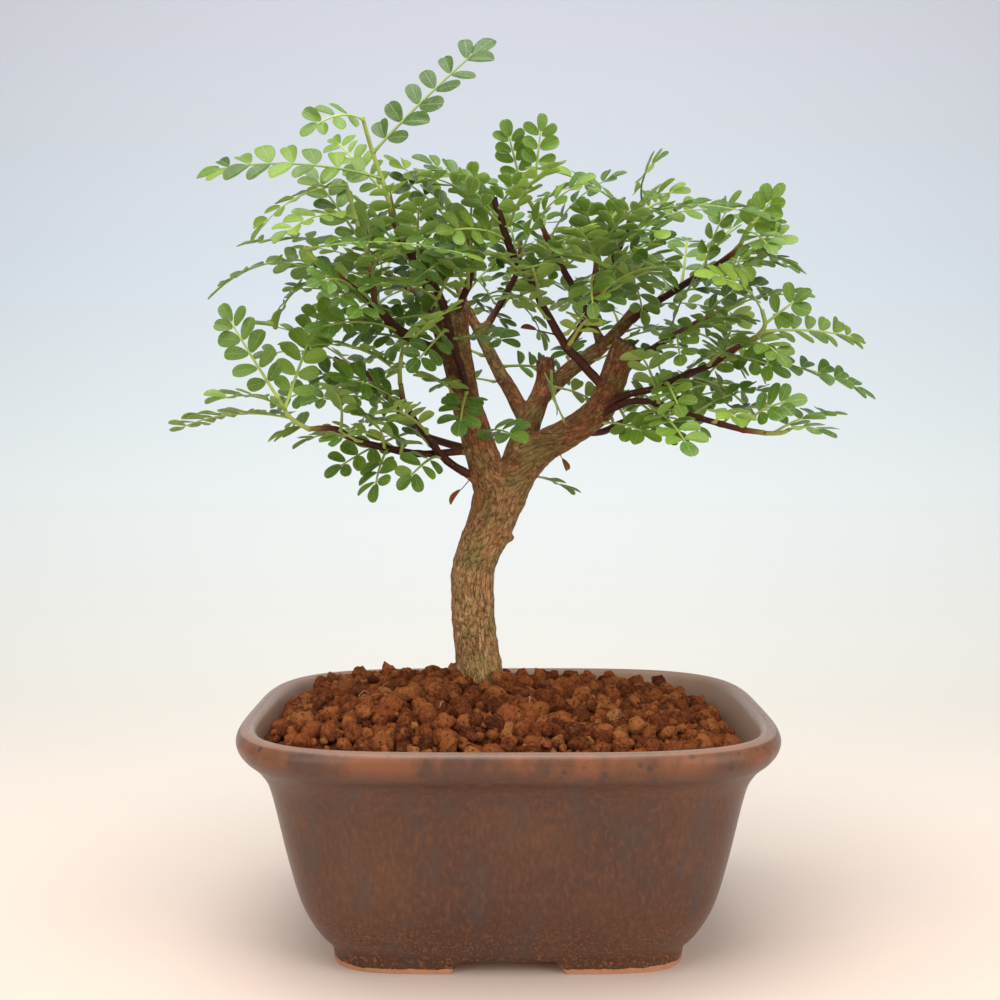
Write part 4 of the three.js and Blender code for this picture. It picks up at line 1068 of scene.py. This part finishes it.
def ruledTip(spot, k, size):
    # outwards from the crown's middle to either side in turn, and no further than the crown's outline
    middle = foliage["crownMiddle"]
    swing = varied(foliage["heading"], k)
    heading = math.atan2(spot.y - middle[1], spot.x) + (-swing if k % 2 else swing)
    lift = varied(foliage["lift"], k + 0.4)
    out = Vector((math.cos(heading), math.sin(heading), lift)).normalized()
    length = varied(size, k + 0.7)

    def outside(p):
        return sum(((p[c] - middle[c]) / foliage["crown"][c]) ** 2 for c in range(3)) > 1

    while length > foliage["shortest"] and outside(spot + out * length):
        length -= 2
    return spot + out * length


def newLeaf(base, tip, face, rise, pairs, leaflet, tone, **more):
    leaf = {"base": base, "tip": Vector(tip), "face": Vector(face), "rise": rise, "pairs": pairs,
            "leaflet": leaflet, "tone": tone, "root": base, "stalk": foliage["stalk"],
            "wide": foliage["wide"], "fold": foliage["plainFold"]}
    leaf.update(more)
    return leaf


def leafOnLimb(owner, limb, at, tip, face, rise, pairs, leaflet=foliage["leaflet"], tone="leaf"):
    # a leaf that springs from the wood, given by the limb and the share of its length
    base = offBark(limb, at, Vector(tip))
    leaf = newLeaf(base, tip, face, rise, pairs, leaflet, tone, root=pointOn(limbs[limb][0], at))
    return bendClear(leaf, owner)


def ruledLeaf(twig, share, k, name, size, tilt, lean=0):
    # a leaf whose direction, length, pairs and tone follow from its number
    spot = pointOn(limbs[twig][0], share)
    tip = ruledTip(spot, k, size)
    base = offBark(twig, share, tip)
    length = (tip - base).length
    pairs = max(3, math.floor((length - foliage["pairsFrom"]) / foliage["pairPitch"] + 0.5) + 1)
    fitting = (foliage["used"] * length - foliage["stalk"]) / (1 + foliage["spacing"] * (pairs - 1))
    face = (tilt[0] * (chance(k + 0.2) - 0.5), tilt[1] * (chance(k + 0.8) - 0.5) - lean, 1)
    rise = varied(foliage["rise"], k + 0.9)
    tone = ("leaf", "dark", "leaf", "olive")[k % 4]
    leaf = newLeaf(base, tip, face, rise, pairs, min(foliage["longest"], fitting), tone,
                   root=spot, fine=foliage["fineLeaflet"])
    return bendClear(leaf, name)


def growLeaves():
    # every leaf by the name of the node that it belongs to
    grown = {}
    for points, radii in limbs.values():
        addPath(points, radii, "wood")
    for name, (stem, leaves) in shoots.items():
        addPath(stem, foliage["stemSizes"], "shoot_" + name)
    for name, (stem, leaves) in shoots.items():
        node = "shoot_" + name
        grown[node] = []
        for at, tip, face, rise, pairs, leaflet, tone in leaves:
            leaf = newLeaf(pointOn(stem, at), tip, face, rise, pairs, leaflet, tone)
            grown[node].append(bendClear(leaf, node))
    for name, row in singles.items():
        grown["leaf_" + name] = [leafOnLimb("leaf_" + name, *row)]
    k = 0
    for twig, (count, bareShare) in leafyTwigs.items():
        for n in range(count):
            k += 1
            share = bareShare + (foliage["lastSpot"] - bareShare) * (n + 0.5) / count
            name = f"leaf_{k:02d}"
            grown[name] = [ruledLeaf(twig, share, k, name, foliage["length"], foliage["tilt"])]
    return grown


grownLeaves = growLeaves()
print("leaves placed", sum(len(rows) for rows in grownLeaves.values()))

# Leaves further in, by the same rule: how many more on each twig
inner = {
    "counts": {
        "twigWest": 7, "twigWestFork": 3, "twigFront": 9, "twigLowMiddle": 6, "twigLowWest": 6,
        "twigBackWest": 7, "twigRise": 11, "twigEast": 12, "twigEastFork": 4, "twigRight": 6,
        "twigRightLow": 5, "twigRightBack": 7, "twigRightRise": 8, "twigCrest": 8, "twigTop": 11,
        "twigBackLeft": 8, "twigBackMiddle": 10, "twigCentre": 11, "innerLeft": 8, "backRight": 8,
    },
    "bare": 0.28, "spread": (0.2, 0.6), "length": (23, 10), "tilt": (1.0, 1.8), "lean": 0.75,
    "leastRoom": -1.3, "leaflet": 5.8, "firstNumber": 100, "pieceSeed": 2000,
}
# a few that show in front of the wood, by limb, share, tip, facing, rise, pairs, leaflet length and tone
frontLeaves = {
    "risingSprout": ("rightBranch", 0.47, (12, -9, 158), (-0.9, -0.3, 0.1), 1, 3, 5.4, "young"),
    "onRightBranch": ("rightBranch", 0.52, (45, -17, 156), (-0.3, -0.8, 0.5), 1.5, 3, 7.2, "leaf"),
    "underRightBranch": ("rightBranch", 0.6, (41, -14, 140), (0.1, -0.7, 0.6), 2, 3, 6.6, "young"),
    "onLeftBranch": ("leftBranch", 0.42, (5, -16, 138), (0.1, -0.7, 0.6), 2, 3, 7, "leaf"),
    "besideLeftBranch": ("leftBranch", 0.62, (-30, -19, 142), (-0.2, -0.6, 0.7), 2, 3, 6.6, "olive"),
}


def growInnerLeaves():
    # leaves that only the dressed model has, by the limb that carries them
    grown = {"front": [leafOnLimb("front", *row) for row in frontLeaves.values()]}
    k = inner["firstNumber"]
    bare, room = inner["bare"], foliage["lastSpot"] - inner["bare"]
    for twig, count in inner["counts"].items():
        grown[twig] = []
        for n in range(count):
            k += 1
            share = bare + room * (n + varied(inner["spread"], k + 0.3)) / count
            leaf = ruledLeaf(twig, share, k, "inner_" + twig, inner["length"], inner["tilt"], inner["lean"])
            if leaf["room"] > inner["leastRoom"]:
                grown[twig].append({**leaf, "fine": inner["leaflet"]})
    return grown


# Leaflets: rounded and a little wider towards the tip, flat but for a slight fold along the midrib
leafForm = {
    "count": 8, "rows": 8, "columns": 4, "thick": 0.05,
    "firstTurn": 0.14, "lastTurn": 0.3, "tipShare": 0.24, "notch": 0.02,
    "skew": 0.06, "bulge": 0.022, "ripple": 0.012,
    "wide": (0.54, 0.18), "cup": (0.03, 0.2), "droop": (0.02, 0.1),      # least, and how much more at most
}


def bladeForm(name, seed, wide, cup, droop):
    # one leaflet a unit long, flat side up along +Z, its stalk at the origin and its rounded tip at +X
    rows, columns = leafForm["rows"], leafForm["columns"]
    first, last = leafForm["firstTurn"], leafForm["lastTurn"]
    skew = leafForm["skew"] * (chance(seed + 0.8) - 0.5)
    points, spots, index = [], [], {}

    def place(i, v, side):
        turn = first + (math.pi - first - last) * i / rows
        u = 0.5 - 0.5 * math.cos(turn)
        half = 0.5 * wide * math.sin(turn) * (1 - leafForm["tipShare"] * math.cos(turn))
        lens = leafForm["thick"] * (1 - v * v) * math.sin(turn)
        notch = leafForm["notch"] if i == rows and v == 0 else 0
        x = u * (1 + leafForm["bulge"] * (1 - v * v)) - notch
        ripple = leafForm["ripple"] * math.sin(9 * u + seed) * abs(v)
        z = cup * half * abs(v) ** 1.5 * 2 - droop * u * u + ripple + side * lens / 2
        return x, v * half + skew * math.sin(math.pi * u), z

    def cornerAt(i, j, side):
        # the rim belongs to both sides
        key = (i, j, side if 0 < i < rows and 0 < j < columns else 0)
        if key not in index:
            v = 2 * j / columns - 1
            index[key] = len(points)
            points.append(place(i, v, key[2]))
            spots.append((i / rows, 0.5 + v / 2))
        return index[key]

    faces, sideOf = [], []
    for side in (1, -1):
        for i in range(rows):
            for j in range(columns):
                face = [cornerAt(i + di, j + dj, side) for di, dj in ((0, 0), (1, 0), (1, 1), (0, 1))]
                faces.append(face if side > 0 else face[::-1])
                sideOf.append(0 if side > 0 else 1)
    form = addObject(name, points, faces)
    form.data.transform(Matrix.Scale(1 / unit, 4))
    layer = form.data.uv_layers.new(name="UVMap")
    for loop in form.data.loops:
        layer.data[loop.index].uv = spots[loop.vertex_index]
    storeValues(form.data, "under", sideOf, "FACE")
    rim = {corner for key, corner in index.items() if key[2] == 0}
    sharp = [edge.vertices[0] in rim and edge.vertices[1] in rim for edge in form.data.edges]
    form.data.attributes.new("sharp_edge", "BOOLEAN", "EDGE").data.foreach_set("value", sharp)
    return form


def makeLeafTree():
    # leaflets on the loose points, and a flattened rib along the edges
    tree, given, result = newTree("leafSpray", {
        "Forms": "Collection", "Blade": "Material", "Rib": "Material", "Flatness": "Float"})
    size = named(tree, "size")
    isBlade = made(tree, "FunctionNodeCompare", {0: size, 1: 0.0}, operation="GREATER_THAN")
    points = made(tree, "GeometryNodeMeshToPoints", {"Mesh": given["Geometry"], "Selection": isBlade})
    turn = made(tree, "FunctionNodeEulerToRotation", {0: named(tree, "turn", "FLOAT_VECTOR")})
    placed = made(tree, "GeometryNodeInstanceOnPoints", {
        "Points": points, "Instance": formsIn(tree, given["Forms"]), "Pick Instance": True,
        "Instance Index": named(tree, "form", "INT"), "Rotation": turn, "Scale": size})
    ribs = made(tree, "GeometryNodeMeshToCurve", {"Mesh": given["Geometry"]})
    facing = named(tree, "facing", "FLOAT_VECTOR")
    ribs = made(tree, "GeometryNodeSetCurveNormal", {"Curve": ribs, "Normal": facing}, mode="FREE")
    circle = made(tree, "GeometryNodeCurvePrimitiveCircle", {"Resolution": 6, "Radius": 1.0})
    squash = made(tree, "ShaderNodeCombineXYZ", {"X": given["Flatness"], "Y": 1.0, "Z": 1.0})
    section = made(tree, "GeometryNodeTransform", {"Geometry": circle, "Scale": squash})
    both = addNode(tree, "GeometryNodeJoinGeometry")
    tree.links.new(realWith(tree, placed, given["Blade"]), both.inputs[0])
    tree.links.new(smoothTubes(tree, ribs, section, given["Rib"]), both.inputs[0])
    tree.links.new(both.outputs[0], result[0])
    return tree


def leafBlades(leaf, seed):
    # every leaflet of a leaf: its place, its two directions and its length
    fine = {**leaf, "leaflet": leaf.get("fine", leaf["leaflet"])}
    length = (leaf["tip"] - leaf["base"]).length
    last, pairs = leafStations(fine)
    room = (pairs[-1] - pairs[0]) * length
    fine["pairs"] = max(leaf["pairs"], round(room / (foliage["finePitch"] * fine["leaflet"])) + 1)
    last, pairs = leafStations(fine)
    blades = []
    for k, t in enumerate(pairs):
        for side in (-1, 1):
            seed += 1
            shift = foliage["shift"] * (chance(seed + 0.1) - 0.5)
            fold = foliage["fold"] + foliage["foldMore"] * chance(seed + 0.2)
            root, along, normal, across, size = leafletFrame(fine, k, t + shift, side, fold)
            turn = Quaternion(normal, foliage["turnSpread"] * (chance(seed + 0.4) - 0.5))
            twist = Quaternion(along, foliage["twistSpread"] * (chance(seed + 0.5) - 0.5))
            along, normal = turn @ along, turn @ (twist @ normal)
            size *= foliage["smallest"] + foliage["sizeSpread"] * chance(seed + 0.7)
            blades.append((root - along * foliage["sink"], along, normal, size))
    point, along, normal, across = ribFrame(fine, last)
    blades.append((point, along, normal, fine["leaflet"]))
    return blades, last


class Spray:
    # loose points where leaflets go and edges where ribs and stems go, with the values that leafSpray reads
    def __init__(self):
        self.points, self.edges, self.rows = [], [], []

    def add(self, point, size=0.0, radius=0.0, facing=up, turn=(0, 0, 0), form=0,
            tint=0.5, tone=0.0, woody=0.0):
        self.points.append(tuple(point))
        self.rows.append({"size": size * unit, "radius": radius * unit, "tint": tint, "tone": tone,
                          "woody": woody, "turn": tuple(turn), "facing": tuple(facing), "form": form})
        return len(self.points) - 1

    def addLine(self, rows):
        for k, row in enumerate(rows):
            index = self.add(**row)
            if k:
                self.edges.append((index - 1, index))

    def build(self, name):
        spray = addObject(name, self.points, [], self.edges)
        for key in self.rows[0]:
            values = [row[key] for row in self.rows]
            if key == "form":
                spray.data.attributes.new(key, "INT", "POINT").data.foreach_set("value", values)
            else:
                storeValues(spray.data, key, values)
        return spray


def turnOf(along, across, normal):
    # the turn that brings a form's own axes to these
    return Matrix((along, across, normal)).transposed().to_euler()


def addLeaf(spray, leaf, seed):
    # a leaf's tint sets its own colour and also how much painted shade or painted highlight its leaflets
    # get
    leafTintAndShade = chance(seed + 0.5)
    tone = foliage["tones"][leaf["tone"]] + foliage["toneSpread"] * (chance(seed + 0.6) - 0.5)
    blades, last = leafBlades(leaf, seed)
    for k, (root, along, normal, size) in enumerate(blades):
        across = normal.cross(along).normalized()
        normal = along.cross(across).normalized()
        tint = 0.6 * leafTintAndShade + 0.4 * chance(seed + k * 1.7)
        form = int(97 * chance(seed + k * 2.3)) % leafForm["count"]
        spray.add(root, size, turn=turnOf(along, across, normal), form=form, tint=tint, tone=tone)
    rows = []
    if leaf["root"] is not leaf["base"]:   # the stalk's foot reaches into the bark
        foot = leaf["root"].lerp(leaf["base"], 0.3)
        rows.append({"point": foot, "radius": foliage["stalkFoot"], "facing": ribFrame(leaf, 0)[2]})
    steps = foliage["ribSteps"]
    for n in range(steps + 1):
        point, along, normal, across = ribFrame(leaf, (last + foliage["ribPast"]) * n / steps)
        radius = foliage["ribRadius"] - foliage["ribTaper"] * n / steps
        if n == 0:
            radius += foliage["ribFoot"]
        rows.append({"point": point, "radius": radius, "facing": normal})
    spray.addLine([{**row, "tint": leafTintAndShade, "tone": tone} for row in rows])


def addStem(spray, stem):
    # a soft stem from the end of the nearest limb
    ends = [Vector(path[-1]) for path, sizes in limbs.values()]
    ends.sort(key=lambda spot: (spot - Vector(stem[0])).length)
    line = smoothLine([tuple(ends[0])] + stem, foliage["stemSteps"])
    share = 1 / (len(line) - 1)
    spray.addLine([{"point": spot, "radius": foliage["stemRadius"] - foliage["stemTaper"] * k * share,
                    "facing": (0.02, -1, 0), "tone": 0.5, "woody": 1 - k * share}
                   for k, spot in enumerate(line)])


def makeBladeMaterial():
    material, tree, shader = newMaterial("pepperLeaf")
    place, under = objectPlace(tree), readValue(tree, "under")
    tint, tone = readValue(tree, "tint"), readValue(tree, "tone")
    color = ramp(tree, tone, [(0.0, "344f1a"), (0.34, "486a17"), (0.6, "60791a"), (1.0, "648526")])
    # painted shade: leaves of low tint are darkened as if shaded inside the crown, partly also real
    # variation between leaves
    shadedLeafTone = mixColors(tree, 0.55, color, paint("1c3810"))
    color = mixColors(tree, between(tree, tint, 0.0, 0.5, 0.9, 0), color, shadedLeafTone)
    # painted highlight: leaves of high tint are lightened to yellow-green as if lit from above
    color = tinted(tree, color, tint, (0.6, 0.95, 0, 0.7), "8cab2c")
    back = ramp(tree, tone, [(0.0, "6c8a42"), (0.4, "7a9a44"), (0.7, "8ba548"), (1.0, "90b850")])
    # the undersides likewise get painted shade at low tint and a painted highlight at high tint
    back = tinted(tree, back, tint, (0.0, 0.7, 0.55, 0), "50702f")
    back = tinted(tree, back, tint, (0.6, 1.0, 0, 0.5), "aac460")
    # midrib and side veins
    flat = made(tree, "ShaderNodeUVMap", uv_map="UVMap")
    spot = addNode(tree, "ShaderNodeSeparateXYZ", {0: flat}).outputs
    away = compute(tree, "ABSOLUTE", compute(tree, "SUBTRACT", spot["Y"], 0.5))
    midrib = between(tree, away, 0.035, 0.01, 0, 0.8)
    slanted = compute(tree, "SUBTRACT", away, spot["X"])
    waves = compute(tree, "SINE", compute(tree, "MULTIPLY", slanted, 44.0))
    lines = compute(tree, "MAXIMUM", midrib, between(tree, waves, 0.82, 1.0, 0, 0.45))
    # mottled, the pale patches partly painted sheen, with pale lines and oil spots and a dark margin
    mottle = noiseAt(tree, place, 750, 4, 0.6)
    sheenTone = mixColors(tree, 0.5, color, paint("8fae4a"))
    # painted sheen: the pale patches of the mottle lighten the tops
    color = mixColors(tree, between(tree, mottle, 0.35, 0.7, 0, 0.35), color, sheenTone)
    color = mixColors(tree, compute(tree, "MULTIPLY", lines, 0.48), color, paint("9dbf68"))
    color = tinted(tree, color, cellsAt(tree, place, 1500), (0.2, 0.1, 0, 0.4), "c4dba0")
    color = tinted(tree, color, away, (0.4, 0.5, 0, 0.7), "44641f")
    back = mixColors(tree, compute(tree, "MULTIPLY", lines, 0.55), back, paint("b9c478"))
    back = tinted(tree, back, mottle, (0.4, 0.7, 0, 0.3), "7b9644")
    normal = bumpUp(tree, lines, 0.35, 0.12)
    setInputs(tree, shader, {
        "Base Color": mixColors(tree, under, color, back),
        "Roughness": mixValues(tree, under, between(tree, mottle, 0.3, 0.7, 0.32, 0.48), 0.6),
        "Specular IOR Level": 0.32, "Subsurface Weight": 0.15,
        "Subsurface Radius": (0.0009, 0.0014, 0.0004), "Subsurface Scale": 1.0,
        "Normal": bumpUp(tree, mottle, 0.35, 0.1, normal)})
    return material


def makeRibMaterial():
    material, tree, shader = newMaterial("greenRib")
    color = ramp(tree, readValue(tree, "tone"), [(0.0, "86a04c"), (0.5, "a2b452"), (1.0, "b2ca62")])
    mottle = noiseAt(tree, objectPlace(tree), 500, 3, 0.6)
    color = tinted(tree, color, mottle, (0.4, 0.7, 0, 0.5), "8a9040")
    color = tinted(tree, color, readValue(tree, "woody"), (0.5, 1.0), "8a5a30")
    normal = bumpUp(tree, mottle, 0.3, 0.1)
    setInputs(tree, shader, {"Base Color": color, "Roughness": 0.5, "Normal": normal})
    return material


def variedForm(k):
    seed = 5 + 3.7 * k
    wide, cup, droop = [varied(leafForm[key], seed + more)
                        for key, more in (("wide", 0), ("cup", 0.3), ("droop", 0.6))]
    return bladeForm(f"leafForm{k}", seed, wide, cup, droop)


leafForms = collect("leafForms", [variedForm(k) for k in range(leafForm["count"])])
leafTree = makeLeafTree()
leafValues = {"Forms": leafForms, "Blade": makeBladeMaterial(), "Rib": makeRibMaterial(),
              "Flatness": foliage["flatness"]}


def makeSpray(name, leaves, seed, node=None):
    # the leaves of one shoot or twig as a piece, which may stand for a node
    growing = Spray()
    for k, leaf in enumerate(leaves):
        addLeaf(growing, leaf, seed + foliage["leafSeed"] * (k + 1))
    if node and node.startswith("shoot_"):
        addStem(growing, shoots[node[6:]][0])
    spray = growing.build(name)
    runTree(spray, leafTree, leafValues)
    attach(spray, "root")
    if node:
        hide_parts(node)
    return sum(len(p.vertices) - 2 for p in spray.data.polygons)


leafTriangles = 0
for number, (node, leaves) in enumerate(grownLeaves.items()):
    leafTriangles += makeSpray("foliage_" + node, leaves, foliage["pieceSeed"] * number, node)
for number, (twig, leaves) in enumerate(growInnerLeaves().items()):
    if leaves:
        seed = inner["pieceSeed"] + foliage["pieceSeed"] * number
        leafTriangles += makeSpray("innerLeaves_" + twig, leaves, seed)
print("foliage made, triangles", leafTriangles)


# Thin twigs: a tube along each centre line, dark at the base and green at a leafy tip
twigs = {
    "steps": 6, "sides": 10, "greenReach": 16, "barkReach": 11, "wander": 0.35, "wanderScale": 0.3,
    "nodePitch": 6.5, "nodeRise": 0.16,      # the slight swellings along a twig
    "darkEnds": ("twigRise", "twigBackWest", "twigRightBack"),
}


def makeTwigTree():
    tree, given, result = newTree("twigTubes", {"Finish": "Material", "Sides": "Int"})
    lines = made(tree, "GeometryNodeMeshToCurve", {"Mesh": given["Geometry"]})
    circle = made(tree, "GeometryNodeCurvePrimitiveCircle", {"Resolution": given["Sides"], "Radius": 1.0})
    tree.links.new(smoothTubes(tree, lines, circle, given["Finish"]), result[0])
    return tree


def makeTwigMaterial():
    material, tree, shader = newMaterial("darkTwigBark")
    place = objectPlace(tree)
    mottle = noiseAt(tree, place, 420, 4, 0.65)
    color = ramp(tree, readValue(tree, "fresh"), [
        (0.0, "3c1a11"), (0.45, "4d2016"), (0.68, "5f2e1c"), (0.84, "77562e"), (1.0, "8a963f")])
    color = mixColors(tree, readValue(tree, "woody"), color, paint("6b4227"))
    color = tinted(tree, color, mottle, (0.5, 0.72, 0, 0.45), "5c3120")
    color = tinted(tree, color, cellsAt(tree, place, 620), (0.2, 0.1, 0, 0.4), "9a7355")
    setInputs(tree, shader, {
        "Base Color": color, "Roughness": 0.6, "Specular IOR Level": 0.25,
        "Normal": bumpUp(tree, mottle, 0.6, 0.25)})
    return material


def makeTwigs():
    points, edges, radii, fresh, woody = [], [], [], [], []
    for name in limbs:
        if name in bark["heavy"]:
            continue
        rows = limbRows(name, twigs["steps"])
        lengths = [0.0]
        for a, b in zip(rows, rows[1:]):
            lengths.append(lengths[-1] + float(np.linalg.norm(b[:3] - a[:3])))
        for k, row in enumerate(rows):
            place = Vector(row[:3])
            scaled = place * twigs["wanderScale"]
            wander = Vector((noise.noise(scaled), noise.noise(scaled + up * 9), 0)) * twigs["wander"]
            points.append(tuple(place + wander))
            swelling = max(math.cos(2 * math.pi * lengths[k] / twigs["nodePitch"]), 0) ** 6
            radii.append((row[3] + twigs["nodeRise"] * swelling) * unit)
            woody.append(max(0.0, 1 - lengths[k] / twigs["barkReach"]))
            left = lengths[-1] - lengths[k]
            fresh.append(0.0 if name in twigs["darkEnds"] else max(0.0, 1 - left / twigs["greenReach"]))
            if k:
                edges.append((len(points) - 2, len(points) - 1))
    tubes = addObject("woodyTwigs", points, [], edges)
    storeValues(tubes.data, "radius", radii)
    storeValues(tubes.data, "fresh", fresh)
    storeValues(tubes.data, "woody", woody)
    runTree(tubes, twigTree, {"Finish": makeTwigMaterial(), "Sides": twigs["sides"]})
    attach(tubes, "root")
    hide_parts("trunk_and_branches")
    return tubes


twigTree = makeTwigTree()
woodyTwigs = makeTwigs()
print("twigs made", len(woodyTwigs.data.polygons))


# Dried leaflets that hang on, and pale fibres on the soil
scraps = {
    "dried": [
        # foot on the wood, where it ends, its length, its turn about that line, how red it is
        ((-9.5, 3, 129), (-13.2, 1, 124.8), 5.2, 0.4, 0.1),
        ((-9, 3, 128.5), (-8.6, 1, 124.2), 5.6, 2.2, 0.3),
        ((14.2, 6.5, 136), (15.4, 4.5, 133.6), 5, 0.9, 0.2),
        ((14, -13.4, 167), (7.6, -15, 168.4), 4.6, 1.5, 1),
    ],
    "driedForm": (0.36, 0.55, 0.16),      # how wide, how rolled in and how bent a dried leaflet is
    "driedStalk": (0.3, 0.22), "driedForms": 3, "driedSeed": 40,
    "fibres": [
        # place, heading, length and curl
        ((5.5, -22), 62, 4.4, 1.2), ((-41, -12), 15, 3.2, 0.5), ((-18, -28), 75, 2.6, -0.6),
        ((22, -38), 20, 3, 0.9), ((-46, 14), 100, 4, 1), ((12, 31), 40, 4.2, 0.6),
    ],
    "fibreRadius": 0.08, "fibreLift": 4.2, "fibreSteps": 8, "fibreSides": 6,
}


def makeDriedMaterial():
    material, tree, shader = newMaterial("driedLeaf")
    color = mixColors(tree, readValue(tree, "tone"), paint("a8662f"), paint("521a14"))
    mottle = noiseAt(tree, objectPlace(tree), 900, 4, 0.65)
    color = tinted(tree, color, mottle, (0.4, 0.65, 0, 0.6), "6b3a1c")
    normal = bumpUp(tree, mottle, 0.6, 0.2)
    setInputs(tree, shader, {"Base Color": color, "Roughness": 0.75, "Normal": normal})
    return material


def makeFibreMaterial():
    material, tree, shader = newMaterial("paleFibre")
    mottle = noiseAt(tree, objectPlace(tree), 1500, 2, 0.5)
    color = mixColors(tree, mottle, paint("8a6f50"), paint("e2d2b4"))
    setInputs(tree, shader, {"Base Color": color, "Roughness": 0.7})
    return material


def makeDriedLeaflets():
    spray = Spray()
    thick, thin = scraps["driedStalk"]
    for k, (foot, end, size, turn, red) in enumerate(scraps["dried"]):
        start, stop = Vector(foot), Vector(end)
        along = (stop - start).normalized()
        side = Quaternion(along, turn) @ along.orthogonal().normalized()
        spray.addLine([{"point": start, "radius": thick, "facing": side, "tone": red},
                       {"point": stop, "radius": thin, "facing": side, "tone": red}])
        spray.add(stop, size, turn=turnOf(along, along.cross(side), side), form=k, tone=red)
    dried = spray.build("driedLeaflets")
    finish = makeDriedMaterial()
    forms = collect("driedForms", [
        bladeForm(f"driedForm{k}", scraps["driedSeed"] + k, *scraps["driedForm"])
        for k in range(scraps["driedForms"])])
    runTree(dried, leafTree, {**leafValues, "Forms": forms, "Blade": finish, "Rib": finish})
    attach(dried, "root")


def makeFibres():
    points, edges = [], []
    steps = scraps["fibreSteps"]
    for (x, y), heading, length, curl in scraps["fibres"]:
        turn = math.radians(heading)
        spot = Vector((x, y, 0))
        for n in range(steps + 1):
            lift = scraps["fibreLift"] * (0.7 + 0.3 * math.sin(math.pi * (n / steps)))
            points.append((spot.x, spot.y, soilHeight(spot.x, spot.y) - soil["sunk"] + lift))
            if n:
                edges.append((len(points) - 2, len(points) - 1))
            turn += curl / steps
            spot += Vector((math.cos(turn), math.sin(turn), 0)) * (length / steps)
    fibres = addObject("soilFibres", points, [], edges)
    storeValues(fibres.data, "radius", [scraps["fibreRadius"] * unit] * len(points))
    runTree(fibres, twigTree, {"Finish": makeFibreMaterial(), "Sides": scraps["fibreSides"]})
    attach(fibres, "root")


makeDriedLeaflets()
makeFibres()
print("dried leaflets and fibres made")


# Stage, lights and camera
studio = {
    # painted light: the sweep turns from pale warm tones on the floor to greyer, cooler ones up the
    # backdrop, where less light falls
    "tones": [(0.0, "f0d9c9"), (0.09, "e8d8cb"), (0.27, "e1dcd2"), (0.5, "dbe1e2"), (0.67, "cdd7df"),
              (0.86, "c9cdd7"), (1.0, "c3c7d2")],
    "nearest": -50, "farthest": 1300,          # where those tones begin and end, by depth
    "floorFront": -900, "bendStart": 260, "bend": 620, "bendSteps": 28, "top": 1900, "halfWidth": 1600,
    "drop": 0.05,
    "lights": {
        # place, target, size in metres, watts
        "overhead": ((-50, -200, 760), (0, 0, 100), (0.55, 0.5), 4.4),
        "frontLeft": ((-480, -580, 420), (0, 0, 120), (0.45, 0.5), 1.6),
        "frontRight": ((560, -480, 330), (0, 0, 110), (0.5, 0.6), 2.1),
        "backdropWash": ((0, 100, 1000), (0, 900, 250), (1.6, 0.4), 5),
    },
    "room": "f8f7f5", "roomStrength": 0.4,
    "camera": (-2.2, -376, 143), "pitch": 3.2, "lens": 48.24,
}


def makeStage():
    # a floor that curves up into a backdrop
    start, bend, turns = studio["bendStart"], studio["bend"], studio["bendSteps"]
    line = [(studio["floorFront"], 0)]
    for k in range(turns + 1):
        turn = math.pi / 2 * k / turns
        line.append((start + bend * math.sin(turn), bend * (1 - math.cos(turn))))
    line.append((start + bend, studio["top"]))
    runs = [line[0][0]]
    for a, b in zip(line, line[1:]):
        runs.append(runs[-1] + math.dist(a, b))
    half, count = studio["halfWidth"], len(line)
    points = [(x, y, z - studio["drop"]) for x in (-half, half) for y, z in line]
    faces = [(k, k + count, k + count + 1, k + 1) for k in range(count - 1)]
    stage = addObject("floorAndBackdrop", points, faces)
    storeValues(stage.data, "run", runs + runs)
    material, tree, shader = newMaterial("paleBackdrop")
    # the painted fall-off of the light along the sweep, by depth
    run = between(tree, readValue(tree, "run"), studio["nearest"], studio["farthest"])
    setInputs(tree, shader, {"Base Color": ramp(tree, run, studio["tones"]), "Roughness": 0.9})
    stage.data.materials.append(material)


def addLight(name, place, target, size, watts):
    data = bpy.data.lights.new(name, "AREA")
    data.shape = "RECTANGLE"
    data.size, data.size_y = size
    data.energy = watts
    light = bpy.data.objects.new(name, data)
    bpy.context.collection.objects.link(light)
    light.location = Vector(place) * unit
    light.rotation_euler = (Vector(target) - Vector(place)).to_track_quat("-Z", "Y").to_euler()


makeStage()
for lightName, row in studio["lights"].items():
    addLight(lightName, *row)
world = bpy.data.worlds.new("softRoom")
bpy.context.scene.world = world
world.use_nodes = True
setInputs(world.node_tree, world.node_tree.nodes["Background"], {
    "Color": paint(studio["room"]), "Strength": studio["roomStrength"]})
bpy.context.scene.view_settings.view_transform = "Standard"

cameraData = bpy.data.cameras.new("photoView")
cameraData.lens = studio["lens"]
cameraData.sensor_width = 36
cameraData.clip_start = 0.01
camera = bpy.data.objects.new("photoView", cameraData)
bpy.context.collection.objects.link(camera)
camera.location = Vector(studio["camera"]) * unit
camera.rotation_euler = (math.radians(90 - studio["pitch"]), 0, 0)
bpy.context.scene.camera = camera
print("stage made")
